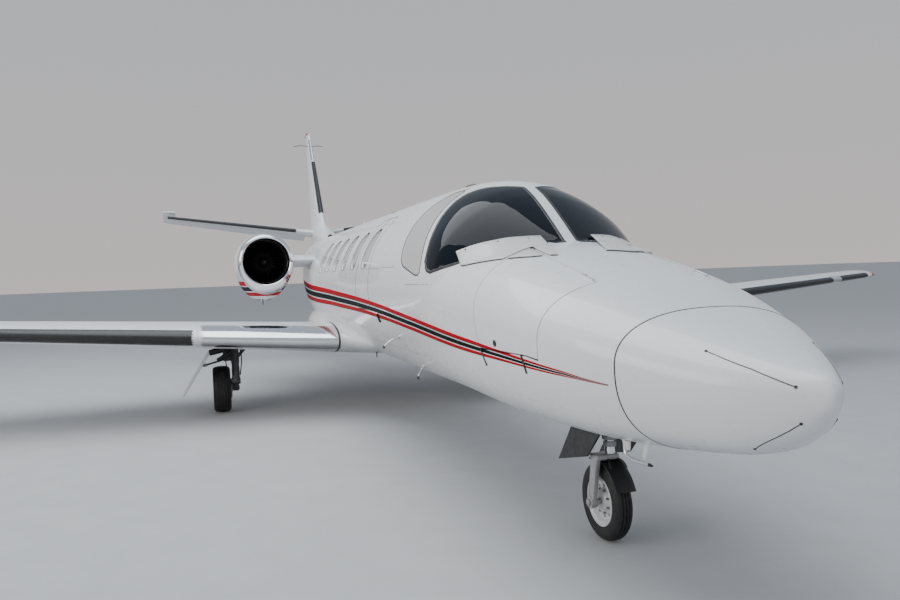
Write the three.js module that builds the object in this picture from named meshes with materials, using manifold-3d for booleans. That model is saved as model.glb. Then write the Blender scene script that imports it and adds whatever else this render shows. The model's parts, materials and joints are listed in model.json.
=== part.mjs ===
// Light twin-engined business jet, parked on its landing gear.
// Millimetres. +X points forward to the nose, +Y to port and +Z up. The origin is on the
// ground, below the middle of the aircraft's length.
// A station s is a distance aft of the nose tip, so it lies at x = NOSE_X - s.
import * as THREE from 'three';
import { mergeVertices } from 'three/addons/utils/BufferGeometryUtils.js';
import Module from 'manifold-3d';

const wasm = await Module();
wasm.setup();

// Driving dimensions of the aircraft.
const LENGTH = 14390;
const SPAN = 15900;
const HEIGHT = 4570;
const NOSE_X = LENGTH / 2;

const GAP = 0.3; // between fixed neighbours
const SEAT = 0.5; // between a turning piece and the piece that carries it
const CLEAR = 8; // around a moving panel
const PANEL_CLEAR = 6; // around a door
const PIN = 12; // radius of the stub pins at a control surface's ends

// Fuselage.
const RINGS = 24; // points around a fuselage section
const INNER_RINGS = 16; // and around its inner wall
const WALL = 60; // cabin wall with its lining
const NOSE_WALL = 45;
const TAIL_WALL = 26;
const RADOME_AFT = 720;
const NOSE_AFT = 2060; // forward pressure bulkhead
const CABIN_AFT = 8560; // aft pressure bulkhead
const TAIL_END = 14250;
const BULKHEAD = 50;
const FLOOR_TOP = 880;
const FLOOR_THICK = 40;

// Glazing.
const GLASS = 16;
const POST = 45; // half the width of the windscreen's centre post
// The windscreen's base falls aft in a straight line to its lower rear corner. `corner` is
// given as [station, height], and `hoop`, its rear edge seen from above, as [station, outboard].
// The hoop meets the centre post at `postS` and the side at `sideS`, at or above `sideZ`.
const WINDSCREEN = {
  baseS: 2075, baseZ: 1744, baseFall: 0.28, postS: 2720, sideS: 2735, sideZ: 1720, aft: 2960,
  corner: [[2560, 1608], [2618, 1594], [2672, 1607], [2708, 1640], [2728, 1690]],
  hoop: [
    [2772, 127], [2821, 205], [2875, 267], [2915, 328], [2948, 400], [2943, 470], [2911, 542],
    [2880, 605], [2835, 664], [2794, 715], [2756, 750], [2735, 775],
  ],
};
// Side window, seen from the side, as [station, height] round its edge.
const SIDE_WINDOW = [
  [2800, 1600], [2830, 1580], [2900, 1581], [3091, 1617], [3250, 1648], [3335, 1685], [3390, 1760],
  [3424, 1850], [3433, 1930], [3426, 2020], [3392, 2098], [3330, 2160], [3270, 2186], [3150, 2190],
  [3070, 2168], [3025, 2110], [2990, 2035], [2960, 1970], [2920, 1895], [2880, 1810], [2840, 1735],
  [2810, 1660],
];
const CABIN_WINDOW = {
  first: 4755, pitch: 555, count: 6, width: 280, sill: 1655, head: 2015,
  corner: 110, reveal: 15,
};
const BELT = { front: 4470, aft: 7760, sill: 1600, head: 2068, skin: 10, pane: 12 };

// Doors.
const CABIN_DOOR = { hinge: 3560, outboard: 838, radius: 745, sill: 1000, head: 2115, corner: 120 };
const HATCH = { front: 4470, aft: 5050, sill: 1285, head: 2110, corner: 60 };
const BAGGAGE = {
  front: 1200, aft: 1985, side: 330, proud: 12, frontReach: 505, aftReach: 700, wall: 25,
};

// Cabin fittings.
const PANEL = { front: 2560, aft: 2860, low: 1190, high: 1690, knee: 1330, face: 2700 };
const CREW_SEAT = { front: 2960, side: 340, width: 430, depth: 480, height: 330, back: 620, tilt: 12 };
const CABIN_SEAT = { side: 400, width: 450, depth: 500, height: 340, back: 640, tilt: 16 };
const CABIN_SEAT_ROWS = [4900, 6050, 7200];

// Wing.
const WING = {
  innerY: 500, outerY: SPAN / 2, rootY: 900, rootLe: 6300, rootChord: 2450, rootZ: 889,
  tipY: 7790, tipLe: 7290, tipChord: 1000, tipZ: 1328, rootRatio: 0.14, tipRatio: 0.12,
  rootIncidence: 2.2, tipIncidence: -0.5, camber: 0.012,
};
const FLAP = { innerY: 1090, outerY: 4560, chordPart: 0.73 };
const AILERON = { innerY: 4640, outerY: 7420, chordPart: 0.77 };

// Tail.
const STABILIZER = {
  rootLe: 12760, rootChord: 1290, rootZ: 2452, tipY: 2860, tipLe: 13300, tipChord: 760,
  tipZ: 2840, rootRatio: 0.10, tipRatio: 0.09, capY: 2895,
};
const ELEVATOR = { innerY: 200, hornY: 2640, chordPart: 0.62, droop: 13 };
const RUDDER = { low: 2850, high: 4400, lowS: 13709, highS: 14165 };

// Engines. Lengths along the nacelle run aft from its inlet plane.
const ENGINE = {
  inlet: 8150, y: 1400, z: 1830, sides: 20, lipLength: 130, length: 2350,
  fanFront: 430, fanBack: 520, duct: 284, bore: 240,
};
const PYLON = { le: 8620, chord: 1850, ratio: 0.095, z: 1845 };

// Landing gear.
const TYRE_SIDES = 20;
const NOSE_GEAR = {
  legS: 1700, axleS: 1757, tyreR: 228.6, tyreWidth: 112, rimR: 140, rimWidth: 96,
  wellFront: 1130, wellAft: 1990, wellHalf: 118, wellTop: 930,
};
const MAIN_GEAR = {
  y: 2040, axleS: 7540, legS: 7370, legY: 1875, tyreR: 279.4, tyreWidth: 203, rimR: 165,
  rimWidth: 150, kneeZ: 385, plateTop: [2168, 735], plateLow: [2465, 262], plateFront: 7180,
  plateAft: 7640,
};
const WHEEL_BAY = { y: 1420, radius: 305, front: 7290, aft: 7640, outerY: 2130, top: 985 };

// Materials.
const finish = (color, roughness, metalness = 0) => (
  new THREE.MeshStandardMaterial({ color, roughness, metalness })
);
const WHITE = finish(0xe9ebee, 0.22);
const GLAZING = finish(0x1c232b, 0.06);
const POLISHED = finish(0xc9ccd1, 0.16, 1);
const STEEL = finish(0x8b8f94, 0.4, 1);
const GREY = finish(0x9b9fa3, 0.45);
const BLACK = finish(0x17181a, 0.6);
const TYRE = finish(0x1a1a1b, 0.9);
const LEATHER = finish(0xb9ab94, 0.6);
const CARPET = finish(0x5d564d, 0.95);

const at = (s) => NOSE_X - s;

// Joining and cutting of closed meshes.

function solid(geometry) {
  const bare = new THREE.BufferGeometry();
  bare.setAttribute('position', geometry.getAttribute('position').clone());
  if (geometry.index) bare.setIndex(geometry.index.clone());
  const merged = mergeVertices(bare, 1e-3);
  const mesh = new wasm.Mesh({
    numProp: 3,
    vertProperties: Float32Array.from(merged.getAttribute('position').array),
    triVerts: Uint32Array.from(merged.index.array),
  });
  return new wasm.Manifold(mesh);
}

function geometryOf(manifold) {
  const mesh = manifold.getMesh();
  const geometry = new THREE.BufferGeometry();
  geometry.setAttribute('position', new THREE.BufferAttribute(mesh.vertProperties, 3));
  geometry.setIndex(new THREE.BufferAttribute(mesh.triVerts, 1));
  geometry.computeVertexNormals();
  return geometry;
}

const join = (first, ...rest) => rest.reduce((sum, piece) => sum.add(piece), first);
const cut = (first, ...rest) => rest.reduce((left, piece) => left.subtract(piece), first);
const mirrored = (manifold) => manifold.scale([1, -1, 1]);

// The largest body of a solid: slivers left by a cut are dropped.
function largest(manifold) {
  const bodies = manifold.decompose();
  return bodies.reduce((best, body) => (body.volume() > best.volume() ? body : best));
}

// Closed lofts. Each ring is a list of points whose first and last halves mirror each
// other, so point i faces point count - 1 - i across the end caps. Each panel is split
// along its shorter diagonal, which keeps a symmetric form symmetric.

function loft(rings) {
  const count = rings[0].length;
  const points = rings.flat();
  const faces = [];
  for (let row = 0; row < rings.length - 1; row += 1) {
    for (let i = 0; i < count; i += 1) {
      const a = row * count + i;
      const b = row * count + ((i + 1) % count);
      const [c, d] = [a + count, b + count];
      const leaning = points[a].distanceTo(points[d]) < points[b].distanceTo(points[c]);
      if (leaning) faces.push(a, b, d, a, d, c);
      else faces.push(a, b, c, b, d, c);
    }
  }
  const cap = (start, flip) => {
    for (let i = 0; i < count / 2 - 1; i += 1) {
      const quad = [i, i + 1, count - 2 - i, count - 1 - i].map((k) => start + k);
      const halves = [[quad[0], quad[2], quad[1]], [quad[0], quad[3], quad[2]]];
      halves.forEach(([p, q, r]) => (flip ? faces.push(p, r, q) : faces.push(p, q, r)));
    }
  };
  cap(0, false);
  cap((rings.length - 1) * count, true);
  return outward(points, faces);
}

// A solid from points and triangles that may all face inward.
function outward(points, faces) {
  const geometry = new THREE.BufferGeometry();
  const values = new Float32Array(points.flatMap((p) => [p.x, p.y, p.z]));
  geometry.setAttribute('position', new THREE.BufferAttribute(values, 3));
  geometry.setIndex(faces);
  const made = solid(geometry);
  if (made.volume() > 0) return made;
  for (let i = 0; i < faces.length; i += 3) [faces[i], faces[i + 1]] = [faces[i + 1], faces[i]];
  geometry.setIndex(faces);
  return solid(geometry);
}

// A bar of constant section that follows the line from a to b. Each corner is [y, z] from it.
const bar = (a, b, corners) => loft([a, b].map(([x, y, z]) => (
  corners.map(([dy, dz]) => new THREE.Vector3(x, y + dy, z + dz))
)));

// A smooth curve through one column of a table, with no overshoot between its rows. It is
// laid over the square root of the station, which rounds the tip.
function column(table, key) {
  const at0 = table.map((row) => Math.sqrt(row.s));
  const value = table.map((row) => row[key]);
  const slope = value.slice(1).map((v, i) => (v - value[i]) / (at0[i + 1] - at0[i]));
  const tangent = value.map((v, i) => {
    if (i === 0) return slope[0];
    if (i === value.length - 1) return slope[i - 1];
    if (slope[i - 1] * slope[i] <= 0) return 0;
    return (2 * slope[i - 1] * slope[i]) / (slope[i - 1] + slope[i]);
  });
  return (s) => {
    const q = Math.sqrt(s);
    let i = 0;
    while (i < at0.length - 2 && q > at0[i + 1]) i += 1;
    const step = at0[i + 1] - at0[i];
    const t = Math.min(Math.max((q - at0[i]) / step, 0), 1);
    const h00 = (1 + 2 * t) * (1 - t) ** 2;
    const h10 = t * (1 - t) ** 2;
    const h01 = t * t * (3 - 2 * t);
    const h11 = t * t * (t - 1);
    return h00 * value[i] + h10 * step * tangent[i] + h01 * value[i + 1] + h11 * step * tangent[i + 1];
  };
}

// Fuselage bodies. s: station; low and high: keel and crown heights; half: half width;
// mid: height of the greatest width; square: 2 for an ellipse, more for fuller corners.

const NOSE_BODY = [
  { s: 0, low: 1078, high: 1090, half: 6, mid: 1084, square: 2 },
  { s: 40, low: 1006, high: 1152, half: 62, mid: 1081, square: 2.1 },
  { s: 140, low: 907, high: 1188, half: 153, mid: 1082, square: 2.2 },
  { s: 350, low: 803, high: 1266, half: 315, mid: 1090, square: 2.3 },
  { s: 700, low: 750, high: 1386, half: 502, mid: 1150, square: 2.35 },
  { s: 1250, low: 703, high: 1558, half: 670, mid: 1235, square: 2.35 },
  { s: 2000, low: 676, high: 1738, half: 742, mid: 1325, square: 2.3 },
  { s: 2600, low: 667, high: 1840, half: 782, mid: 1400, square: 2.15 },
  { s: 3300, low: 662, high: 1950, half: 811, mid: 1470, square: 2.02 },
];
const CABIN_BODY = [
  { s: 2090, low: 1500, high: 1742, half: 60, mid: 1560, square: 2 },
  { s: 2200, low: 1350, high: 1824, half: 400, mid: 1525, square: 2 },
  { s: 2300, low: 1250, high: 1900, half: 550, mid: 1510, square: 2 },
  { s: 2400, low: 1150, high: 1973, half: 655, mid: 1500, square: 2 },
  { s: 2500, low: 1050, high: 2042, half: 733, mid: 1490, square: 2 },
  { s: 2600, low: 950, high: 2104, half: 782, mid: 1482, square: 2 },
  { s: 2750, low: 800, high: 2175, half: 806, mid: 1476, square: 2 },
  { s: 2950, low: 700, high: 2234, half: 812, mid: 1473, square: 2 },
  { s: 3300, low: 660, high: 2270, half: 815, mid: 1472, square: 2 },
  { s: 3900, low: 658, high: 2285, half: 815, mid: 1472, square: 2 },
  { s: 8000, low: 658, high: 2285, half: 815, mid: 1472, square: 2 },
  { s: 8800, low: 712, high: 2285, half: 800, mid: 1490, square: 2 },
  { s: 9600, low: 880, high: 2283, half: 748, mid: 1570, square: 2 },
  { s: 10600, low: 1165, high: 2278, half: 640, mid: 1705, square: 2 },
  { s: 11600, low: 1450, high: 2270, half: 505, mid: 1845, square: 2 },
  { s: 12600, low: 1705, high: 2258, half: 355, mid: 1965, square: 2 },
  { s: 13500, low: 1895, high: 2235, half: 222, mid: 2055, square: 2 },
  { s: 14100, low: 2000, high: 2205, half: 130, mid: 2100, square: 2 },
  { s: TAIL_END, low: 2052, high: 2160, half: 58, mid: 2106, square: 2 },
];
const FAIRING = [
  { s: 5350, low: 880, high: 930, half: 300, mid: 905, square: 2 },
  { s: 5600, low: 790, high: 1040, half: 590, mid: 905, square: 2.2 },
  { s: 5900, low: 742, high: 1150, half: 712, mid: 905, square: 2.3 },
  { s: 6300, low: 700, high: 1230, half: 768, mid: 910, square: 2.4 },
  { s: 7000, low: 645, high: 1285, half: 805, mid: 915, square: 2.5 },
  { s: 7800, low: 618, high: 1310, half: 824, mid: 920, square: 2.6 },
  { s: 8600, low: 615, high: 1290, half: 822, mid: 920, square: 2.6 },
  { s: 9100, low: 665, high: 1220, half: 765, mid: 925, square: 2.5 },
  { s: 9700, low: 800, high: 1100, half: 540, mid: 935, square: 2.3 },
];

const STATIONS = {
  radome: [0, 10, 40, 90, 170, 280, 420, 560, RADOME_AFT],
  nose: [RADOME_AFT, 980, 1300, 1700, NOSE_AFT, 2600, 3300],
  cabin: [2090, 2140, 2200, 2300, 2400, 2500, 2600, 2750, 2950, 3300, 3900, 8000, CABIN_AFT],
  tail: [CABIN_AFT, 9000, 9600, 10300, 11200, 12200, 13200, 13900, 14200, TAIL_END],
  noseRoom: [1300, 2060, 2700],
  cabinRoom: [2240, 2400, 2600, 2900, 3900, 8000],
  tailRoom: [9600, 11200, 12600],
  fairing: [5350, 5470, 5600, 5750, 5900, 6300, 7000, 7800, 8600, 8850, 9100, 9400, 9700],
};

// A body between two stations, grown outward by `grow` (negative for an inner wall).
function body(table, stations, grow = 0, count = RINGS) {
  const read = {};
  ['low', 'high', 'half', 'mid', 'square'].forEach((key) => { read[key] = column(table, key); });
  return loft(stations.map((s) => {
    const mid = read.mid(s);
    const power = 2 / read.square(s);
    return Array.from({ length: count }, (_, i) => {
      const angle = ((i + 0.5) * 2 * Math.PI) / count;
      const across = Math.cos(angle);
      const up = Math.sin(angle);
      const rise = up > 0 ? read.high(s) - mid + grow : mid - read.low(s) + grow;
      return new THREE.Vector3(
        at(s),
        Math.sign(across) * Math.abs(across) ** power * (read.half(s) + grow),
        mid + Math.sign(up) * Math.abs(up) ** power * rise,
      );
    });
  }));
}

const between = (list, from, to) => [from, ...list.filter((s) => s > from && s < to), to];

// Simple shapes.

function slab(x0, x1, y0, y1, z0, z1) {
  const geometry = new THREE.BoxGeometry(Math.abs(x1 - x0), Math.abs(y1 - y0), Math.abs(z1 - z0));
  geometry.translate((x0 + x1) / 2, (y0 + y1) / 2, (z0 + z1) / 2);
  return solid(geometry);
}

// A round bar between two points, with its own radius at each end.
function rod(from, to, radius, endRadius = radius, sides = 16) {
  const a = new THREE.Vector3(...from);
  const b = new THREE.Vector3(...to);
  const along = b.clone().sub(a);
  const geometry = new THREE.CylinderGeometry(endRadius, radius, along.length(), sides);
  const turn = new THREE.Quaternion().setFromUnitVectors(new THREE.Vector3(0, 1, 0), along.normalize());
  geometry.applyQuaternion(turn);
  geometry.translate((a.x + b.x) / 2, (a.y + b.y) / 2, (a.z + b.z) / 2);
  return solid(geometry);
}

// A flat outline, drawn in two of the axes and drawn out along the third.
function prism(outline, axis, from, to) {
  const drawn = outline instanceof THREE.Shape;
  const shape = drawn ? outline : new THREE.Shape(outline.map(([u, v]) => new THREE.Vector2(u, v)));
  const how = { depth: to - from, bevelEnabled: false, curveSegments: 2 };
  const geometry = new THREE.ExtrudeGeometry(shape, how);
  geometry.translate(0, 0, from);
  const turn = new THREE.Matrix4();
  if (axis === 'y') turn.set(1, 0, 0, 0, 0, 0, 1, 0, 0, 1, 0, 0, 0, 0, 0, 1);
  if (axis === 'x') turn.set(0, 0, 1, 0, 1, 0, 0, 0, 0, 1, 0, 0, 0, 0, 0, 1);
  geometry.applyMatrix4(turn);
  const made = solid(geometry);
  return made.volume() > 0 ? made : solid(flipped(geometry));
}

function flipped(geometry) {
  const loose = geometry.index ? geometry.toNonIndexed() : geometry.clone();
  const place = loose.getAttribute('position');
  const hold = new THREE.Vector3();
  const other = new THREE.Vector3();
  for (let i = 0; i < place.count; i += 3) {
    hold.fromBufferAttribute(place, i);
    other.fromBufferAttribute(place, i + 1);
    place.setXYZ(i, other.x, other.y, other.z);
    place.setXYZ(i + 1, hold.x, hold.y, hold.z);
  }
  return loose;
}

// A rounded rectangle between two stations and two heights, as seen from the side.
function sideOutline(front, aft, low, high, radius) {
  const x0 = at(aft);
  const x1 = at(front);
  const shape = new THREE.Shape();
  shape.moveTo(x0 + radius, low);
  shape.lineTo(x1 - radius, low);
  shape.absarc(x1 - radius, low + radius, radius, -Math.PI / 2, 0);
  shape.lineTo(x1, high - radius);
  shape.absarc(x1 - radius, high - radius, radius, 0, Math.PI / 2);
  shape.lineTo(x0 + radius, high);
  shape.absarc(x0 + radius, high - radius, radius, Math.PI / 2, Math.PI);
  shape.lineTo(x0, low + radius);
  shape.absarc(x0 + radius, low + radius, radius, Math.PI, 1.5 * Math.PI);
  return shape;
}

// A ring turned about the X axis. Each profile point is [distance aft, radius].
function turned(profile, sides) {
  const points = profile.map(([along, radius]) => new THREE.Vector2(radius, -along));
  if (profile[0][1] > 0) points.push(points[0].clone());
  const geometry = new THREE.LatheGeometry(points, sides);
  geometry.rotateZ(-Math.PI / 2);
  const made = solid(geometry);
  return made.volume() > 0 ? made : solid(flipped(geometry));
}

// Wings. The section is a symmetric thickness law on a shallow camber line. Its ring runs
// from the trailing edge over the top to the leading edge and back below.
const CHORD_STEPS = [1, 0.88, 0.72, 0.52, 0.32, 0.16, 0.06, 0.015, 0];
const TRAILING_EDGE = 5; // thickness of the trailing edge

function sectionHalf(part, ratio, chord) {
  const root = Math.sqrt(part);
  const law = 0.2969 * root - 0.126 * part - 0.3516 * part ** 2 + 0.2843 * part ** 3 - 0.1036 * part ** 4;
  return 5 * ratio * law * chord + part * (TRAILING_EDGE / 2);
}

// Points of one section as [aft of the leading edge, up].
function sectionPoints(chord, ratio, camber = 0) {
  const nose = CHORD_STEPS.length - 1;
  const upper = CHORD_STEPS.slice(0, nose);
  const lift = (part) => 4 * camber * chord * part * (1 - part);
  const edge = (part, side) => [part * chord, lift(part) + side * sectionHalf(part, ratio, chord)];
  const blunt = sectionHalf(0.004, ratio, chord);
  return [
    ...upper.map((part) => edge(part, 1)),
    [0, blunt],
    [0, -blunt],
    ...upper.slice().reverse().map((part) => edge(part, -1)),
  ];
}

const mix = (a, b, t) => a + (b - a) * t;

function wingAt(y) {
  const t = (y - WING.rootY) / (WING.tipY - WING.rootY);
  return {
    le: mix(WING.rootLe, WING.tipLe, t),
    chord: mix(WING.rootChord, WING.tipChord, t),
    z: mix(WING.rootZ, WING.tipZ, t),
    ratio: mix(WING.rootRatio, WING.tipRatio, t),
    fall: Math.tan(THREE.MathUtils.degToRad(mix(WING.rootIncidence, WING.tipIncidence, t))),
  };
}

// A section's ring at a spanwise place. `inset` shrinks it towards mid-chord, for a tip cap.
function spanRing(y, { le, chord, z, ratio, fall = 0 }, camber, inset = 0) {
  const small = chord - 2 * inset;
  const thin = ratio * (1 - inset / 160);
  return sectionPoints(small, thin, camber).map(([aft, up]) => (
    new THREE.Vector3(at(le + inset + aft), y, z + up - (inset + aft) * fall)
  ));
}

// Middle of the section at a part of the chord, and half its thickness there.
function spanHinge(y, { le, chord, z, ratio, fall = 0 }, camber, part) {
  return {
    x: at(le + part * chord),
    y,
    z: z + 4 * camber * chord * part * (1 - part) - part * chord * fall,
    r: sectionHalf(part, ratio, chord),
  };
}

// Cuts a turning surface out of a solid. `from` and `to` are the ends of the hinge line with
// the radius of the surface's round nose there. The surface's ends are square to the line,
// so they keep to their planes as it turns. A horn is all of the tip that lies beyond `from`.
// Returns the surface, with the stub pins that carry it, and the pocket around it.
function surface(whole, from, to, { horn = false } = {}) {
  const a = new THREE.Vector3(from.x, from.y, from.z);
  const b = new THREE.Vector3(to.x, to.y, to.z);
  const length = a.distanceTo(b);
  const along = b.clone().sub(a).normalize();
  const aft = new THREE.Vector3(-1, 0, 0).addScaledVector(along, along.x).normalize();
  const place = new THREE.Matrix4().makeBasis(along, aft, along.clone().cross(aft)).setPosition(a).elements;
  const far = 1500;
  const noseR = (u) => mix(from.r, to.r, u / length);
  const region = (grow) => {
    const [u0, u1] = [-grow, length + grow];
    const plan = prism([[u0, 0], [u1, 0], [u1, far], [u0, far]], 'z', -far, far);
    const nose = rod([-150, 0, 0], [length + 150, 0, 0], noseR(-150) + grow, noseR(length + 150) + grow, 16);
    const made = plan.add(nose.intersect(slab(u0, u1, -far, far, -far, far)));
    return horn ? made.add(slab(-far, grow, -far, far, -far, far)) : made;
  };
  const pin = (u0, u1) => rod([u0, 0, 0], [u1, 0, 0], PIN, PIN, 8);
  const inner = pin(length - 30, length + CLEAR - SEAT);
  const pins = horn ? inner : inner.add(pin(SEAT - CLEAR, 30));
  return {
    moving: largest(region(0).transform(place).intersect(whole)).add(pins.transform(place)),
    pocket: region(CLEAR).transform(place),
  };
}

// The aircraft.
const aircraft = new THREE.Group();

function part(name, manifold, material, parent = aircraft) {
  const mesh = new THREE.Mesh(geometryOf(manifold), material);
  mesh.name = name;
  parent.add(mesh);
  return mesh;
}

// Adds a piece on the starboard side and its mirror image on the port side.
function pair(name, starboard, material, parent = aircraft) {
  part(`${name}_right`, starboard, material, parent);
  part(`${name}_left`, mirrored(starboard), material, parent);
}

// Outer forms, before anything is cut.
const noseForm = (grow = 0, from = RADOME_AFT, to = 3300) => (
  body(NOSE_BODY, between(STATIONS.nose, from, to), grow)
);
const cabinForm = (grow = 0, from = 2090, to = CABIN_AFT) => (
  body(CABIN_BODY, between(STATIONS.cabin, from, to), grow)
);
const tailForm = (grow = 0, from = CABIN_AFT, to = TAIL_END) => (
  body(CABIN_BODY, between(STATIONS.tail, from, to), grow)
);
// Inner walls, set in from the outer ones.
const room = (table, stations) => (inset, from, to) => (
  body(table, between(stations, from, to), -inset, INNER_RINGS)
);
const noseRoom = room(NOSE_BODY, STATIONS.noseRoom);
const cabinRoom = room(CABIN_BODY, STATIONS.cabinRoom);
const tailRoom = room(CABIN_BODY, STATIONS.tailRoom);
const hullGrown = join(noseForm(GAP), cabinForm(GAP), tailForm(GAP, CABIN_AFT - 1));
const fairingForm = (grow = 0) => body(FAIRING, STATIONS.fairing, grow);

// Nose.

part('radome', body(NOSE_BODY, STATIONS.radome), WHITE);

const noseWell = slab(
  at(NOSE_GEAR.wellFront), at(NOSE_GEAR.wellAft),
  -NOSE_GEAR.wellHalf, NOSE_GEAR.wellHalf, 400, NOSE_GEAR.wellTop,
);
const BAY = { front: 1020, aft: NOSE_AFT - BULKHEAD, floor: 990 };
const noseShell = cut(
  noseForm(0, RADOME_AFT + GAP, NOSE_AFT),
  noseRoom(NOSE_WALL, BAY.front, BAY.aft)
    .intersect(slab(at(BAY.front), at(BAY.aft), -SPAN, SPAN, BAY.floor, HEIGHT)),
  noseWell,
);

// A nose baggage door turns about a line just outside the skin at its upper edge, so its
// lower edge and the opening's are cut by cones about that line.
const noseCrown = column(NOSE_BODY, 'high');
const noseMid = column(NOSE_BODY, 'mid');
const noseHalf = column(NOSE_BODY, 'half');
const noseSquare = column(NOSE_BODY, 'square');
function noseSkin(s, y) {
  const power = noseSquare(s);
  const part0 = (1 - (Math.abs(y) / noseHalf(s)) ** power) ** (1 / power);
  return noseMid(s) + (noseCrown(s) - noseMid(s)) * part0;
}
const BAGGAGE_AXIS = [BAGGAGE.front, BAGGAGE.aft].map((s) => (
  [at(s), -BAGGAGE.side - BAGGAGE.proud * 0.3, noseSkin(s, BAGGAGE.side) + BAGGAGE.proud]
));
function baggageRegion(grow) {
  const a = new THREE.Vector3(...BAGGAGE_AXIS[0]);
  const b = new THREE.Vector3(...BAGGAGE_AXIS[1]);
  const along = b.clone().sub(a).normalize();
  const perLength = (BAGGAGE.aftReach - BAGGAGE.frontReach) / a.distanceTo(b);
  const over = 200;
  const p = a.clone().addScaledVector(along, -over).toArray();
  const q = b.clone().addScaledVector(along, over).toArray();
  const reachAtP = BAGGAGE.frontReach - over * perLength + grow;
  const reachAtQ = BAGGAGE.aftReach + over * perLength + grow;
  const cone = rod(p, q, reachAtP, reachAtQ, 48);
  const front = slab(at(BAGGAGE.front) + grow, at(BAGGAGE.aft + 400), -SPAN, 0, 0, HEIGHT);
  const drop = Math.tan(Math.atan2(b.z - a.z, a.x - b.x)) * 600;
  const aft = prism([
    [b.x - grow, b.z + 300], [b.x - grow, b.z], [b.x + drop - grow, b.z - 600],
    [a.x + 400, b.z - 600], [a.x + 400, b.z + 300],
  ], 'y', -SPAN, 0);
  const outboard = slab(-LENGTH, LENGTH, -SPAN, -BAGGAGE.side + grow, 0, HEIGHT);
  return cone.intersect(front).intersect(aft).intersect(outboard);
}
const baggageWall = noseForm(0, RADOME_AFT + GAP, NOSE_AFT)
  .subtract(noseForm(-BAGGAGE.wall, 900, NOSE_AFT + 40));
const baggageDoor = baggageWall.intersect(baggageRegion(0));
const baggageOpening = baggageRegion(PANEL_CLEAR);

// The door's knuckle fills the middle of the hinge line and the fixed ones stand at its
// ends. Each has a web down to its own skin.
const KNUCKLE_R = 6;
const BAGGAGE_KNUCKLE = { end: 0.02, split: 0.16, web: 0.014 };
const baggageAt = (t) => {
  const [a, b] = BAGGAGE_AXIS.map((point) => new THREE.Vector3(...point));
  return a.lerp(b, t).toArray();
};
const baggageSeat = SEAT / (BAGGAGE.aft - BAGGAGE.front);
const { end: knuckleEnd, split: knuckleSplit, web: webInset } = BAGGAGE_KNUCKLE;
// A knuckle's ends are square to the hinge line, and its webs stop short of them, so nothing
// meets its neighbour as the door turns.
function knuckle(from, to, ...webs) {
  const web = [baggageAt(from + webInset), baggageAt(to - webInset)];
  return join(
    rod(baggageAt(from), baggageAt(to), KNUCKLE_R, KNUCKLE_R, 8),
    ...webs.map((corners) => bar(...web, corners)),
  );
}
const doorHinge = knuckle(knuckleSplit, 1 - knuckleSplit, [[-6, 0], [3, 0], [3, -24], [-6, -24]]);
const fixedHinges = [
  [knuckleEnd, knuckleSplit - baggageSeat],
  [1 - knuckleSplit + baggageSeat, 1 - knuckleEnd],
].map(([from, to]) => knuckle(
  from,
  to,
  [[0, 5], [24, 5], [24, -5], [0, -5]],
  [[10, 5], [24, 5], [24, -28], [10, -28]],
));
part('nose_section', join(
  largest(cut(noseShell, baggageOpening, mirrored(baggageOpening))),
  ...fixedHinges,
  ...fixedHinges.map(mirrored),
), WHITE);
pair('baggage_door', join(largest(baggageDoor), doorHinge), WHITE);

// Cabin.

const cabinOuter = cabinForm().add(noseForm(0, NOSE_AFT + GAP, 3300));
const cabinInner = join(
  cabinRoom(WALL, 2240, CABIN_AFT - BULKHEAD),
  noseRoom(WALL, NOSE_AFT + BULKHEAD, 2700),
);

// The windscreen's region is bounded by its base from the side and by its hoop from above.
// Growing it moves a slanting edge a little further than a straight one.
const SLANT = 1.4;
function windscreenRegion(grow) {
  const { baseS, baseZ, baseFall, corner, hoop, postS, sideS, sideZ, aft } = WINDSCREEN;
  const post = POST - grow;
  const slant = SLANT * grow;
  const ahead = 600;
  const base = prism([
    [at(baseS - ahead), baseZ + ahead * baseFall - grow],
    ...corner.map(([s, z]) => [at(s + slant), z - slant]),
    [at(aft), sideZ - grow],
    [at(aft), HEIGHT],
    [at(baseS - ahead), HEIGHT],
  ], 'y', -SPAN, -post);
  const above = prism([
    [at(baseS - ahead), -post],
    [at(postS + slant), -post],
    ...hoop.map(([s, y]) => [at(s + slant), -y]),
    [at(sideS + slant), -SPAN],
    [at(baseS - ahead), -SPAN],
  ], 'z', 0, HEIGHT);
  return base.intersect(above);
}
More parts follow.
